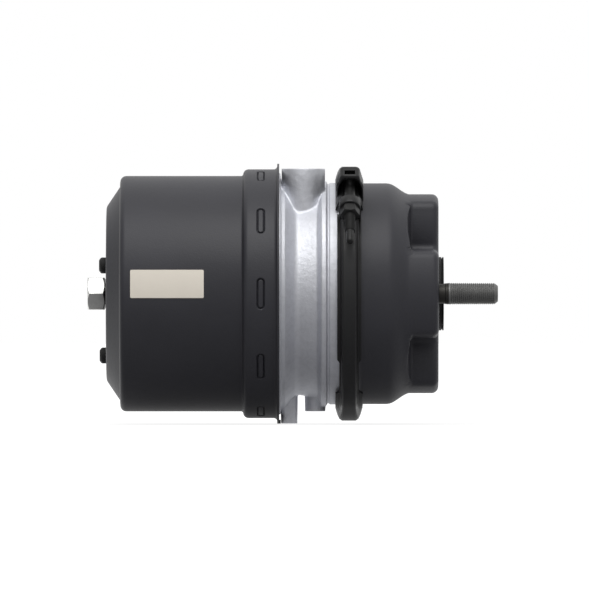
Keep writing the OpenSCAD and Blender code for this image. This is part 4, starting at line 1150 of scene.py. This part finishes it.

# %% [markdown]
# ## The diaphragm
#
# A cup of rubber over fabric. Its bead is held between the rims by the clamp, and its floor lies on the push
# plate. When air comes in, the wall rolls over and the floor moves on with the rod.

# %% Diaphragm
diaphragm_outline = np.vstack([[(-103.3, 0.0)], rounded([
    (-103.3, 53.0, 3.0), (-101.0, 56.0, 3.0), (-72.0, 66.5, 4.0), (-68.1, 72.5, 4.0), (-68.1, 87.4, 0.8),
    (-64.9, 87.4, 0.8), (-64.9, 69.5, 4.0), (-68.5, 63.8, 4.0), (-97.6, 53.4, 3.0), (-100.3, 50.0, 2.5),
], 7), [(-100.3, 0.0)]])
diaphragm = make_piece(
    "diaphragm_cup", [spun(diaphragm_outline, 160)], "housing", "diaphragm_rubber", ["diaphragm"],
    wrap_rows=False, place=False,
)
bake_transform(diaphragm)

# %% [markdown]
# ## The springs
#
# A coil is a circle carried along a helix. Its wire ends are closed by letting the circle shrink as a
# quarter round. The power spring stretches with the piston, and the return spring is only ever pressed
# shorter.


# %% Springs
def coil(x0, x1, turns, wire, first, last, belly, per_turn=40, sides=16):
    """Points of a coil round the X axis.

    At share t of its length the wire's centre is at x0 + (x1 - x0) t, at the angle turns * t, on the
    radius first + (last - first) t + belly sin(pi t). Round it runs a circle of radius wire.
    """
    t = np.linspace(0, 1, int(turns * per_turn))
    end = wire / (2 * np.pi * first * turns)
    t = np.concatenate([np.linspace(0, end, 6)[:-1], t[t > end]])
    t = np.concatenate([t[t < 1 - end], np.linspace(1 - end, 1, 6)])
    near = np.clip(np.minimum(t, 1 - t) / end, 0, 1)
    size = (wire * np.sqrt(np.maximum(1 - (1 - near) ** 2, 0)))[:, None]
    around = full_turn(sides)
    turn = (2 * np.pi * turns * t)[:, None]
    radius = (first + (last - first) * t + belly * np.sin(np.pi * t))[:, None] + size * np.cos(around)
    x = x0 + wire + (x1 - x0 - 2 * wire) * t[:, None] + size * np.sin(around)
    return turned(x, radius, turn)


RETURN_SEATS = (-96.4, -7.1)
power_line = coil(-243.1, -182.9, 3.7, 6.0, 56.0, 56.0, 8.0)
power = make_piece(
    "power_coil", [power_line], "housing", "spring_steel", ["power_spring"], wrap_rows=False, place=False,
)
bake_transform(power)
return_line = coil(*RETURN_SEATS, 5.0, 2.5, 44.0, 40.0, 0.0)
back = make_piece(
    "return_coil", [return_line], "housing", "spring_steel", ["return_spring"], wrap_rows=False,
)
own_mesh(back)

# %% [markdown]
# ## Floor, world and lamps
#
# The photograph stands on plain white, and its metal is bright above, grey in front and darker below: one
# broad soft lamp hangs above and a little in front, in a room that is dimmer than the background. So the
# world and the floor are white where the camera looks at them. A mirror ray sees that white too where it
# runs on behind the object, and the dimmer room where it comes back to the front. The room is dimmest at
# the left, where the photograph's cone is dark. The floor is a real surface under its white, so that it
# keeps the object's shadow.

# %% Floor
FLOOR_Z = cad_box[0][2] - 0.0005
FLOOR_HALF = 20.0


def floor_finish():
    """White to the camera and to what is mirrored behind the object; a lit grey surface to the rest."""
    finish = Finish("floor")
    finish.nodes.remove(finish.shader)
    behind = finish.along(1).step(-0.07, 0.07)
    camera_ray = finish.node("ShaderNodeLightPath", out=0)
    glossy_ray = finish.node("ShaderNodeLightPath", out=3)
    passing_ray = finish.node("ShaderNodeLightPath", out=6)
    grey = finish.node("ShaderNodeBsdfDiffuse", {}, {"Color": (0.36, 0.36, 0.37)})
    lit = finish.node("ShaderNodeBsdfDiffuse", {}, {"Color": (0.27, 0.27, 0.27)})
    far = finish.node("ShaderNodeVectorMath", {"operation": "LENGTH"}, [finish.place()], out=1)
    glow = 0.84 + 0.2 * far.step(0.15, 0.6)
    white = finish.node("ShaderNodeEmission", {}, {"Color": (1, 1, 1), "Strength": glow})
    pale = finish.node("ShaderNodeAddShader", {}, [white, lit])
    seen = camera_ray + glossy_ray * behind + passing_ray
    mixed = finish.node("ShaderNodeMixShader", {}, [seen, grey, pale])
    finish.links.new(mixed.socket, finish.output.inputs["Surface"])
    return finish.material


floor_mesh = bpy.data.meshes.new("floor")
quarters = ((-1, -1), (1, -1), (1, 1), (-1, 1))
floor_mesh.from_pydata([(x * FLOOR_HALF, y * FLOOR_HALF, FLOOR_Z) for x, y in quarters], [], [(0, 1, 2, 3)])
floor = bpy.data.objects.new("floor", floor_mesh)
floor_mesh.materials.append(floor_finish())
bpy.context.scene.collection.objects.link(floor)
print("floor at z", round(FLOOR_Z, 4))

# %% World and lamp
ROOM = 0.50
FRONT = 0.56
LEFT_DIM = 0.45
world = bpy.data.worlds.new("world")
world.use_nodes = True
bpy.context.scene.world = world


class Sky(Finish):
    """The world's node tree, with the same helpers as a finish."""

    def __init__(self, made):
        self.nodes, self.links = made.node_tree.nodes, made.node_tree.links


sky = Sky(world)
rightward, backward = [
    sky.node("ShaderNodeSeparateXYZ", {}, [sky.node("ShaderNodeTexCoord", out=0)], out=axis)
    for axis in (0, 1)
]
glossy_level = FRONT + (1 - FRONT) * backward.step(-0.1, 0.5)
sees = sky.node("ShaderNodeLightPath", out=0) + sky.node("ShaderNodeLightPath", out=6)
mirrors = sky.node("ShaderNodeLightPath", out=3)
lit = (ROOM + mirrors * (glossy_level - ROOM)) * (1 - LEFT_DIM * (0 - rightward).step(0.3, 0.95))
sky.feed(sky.nodes["Background"].inputs["Strength"], sees + (1 - sees) * lit)
sky.feed(sky.nodes["Background"].inputs["Color"], (1, 1, 1))


def soft_lamp(name, place, aim, size, watts):
    """A rectangular lamp at place, turned so that its own -Z axis points from there to aim."""
    lamp_data = bpy.data.lights.new(name, "AREA")
    lamp_data.shape = "RECTANGLE"
    lamp_data.size, lamp_data.size_y = size
    lamp_data.energy = watts
    lamp = bpy.data.objects.new(name, lamp_data)
    bpy.context.scene.collection.objects.link(lamp)
    lamp.location = place
    direction = np.array(aim, float) - np.array(place, float)
    flat = math.hypot(direction[0], direction[1])
    lamp.rotation_euler = (math.atan2(flat, -direction[2]), 0, math.atan2(-direction[0], direction[1]))
    return lamp


key = soft_lamp("key", (-0.1, -0.75, 1.25), (-0.1, 0, 0), (1.3, 1.0), 11)
print("lamp at", [round(v, 2) for v in key.location])
bpy.context.scene.view_settings.view_transform = "Standard"
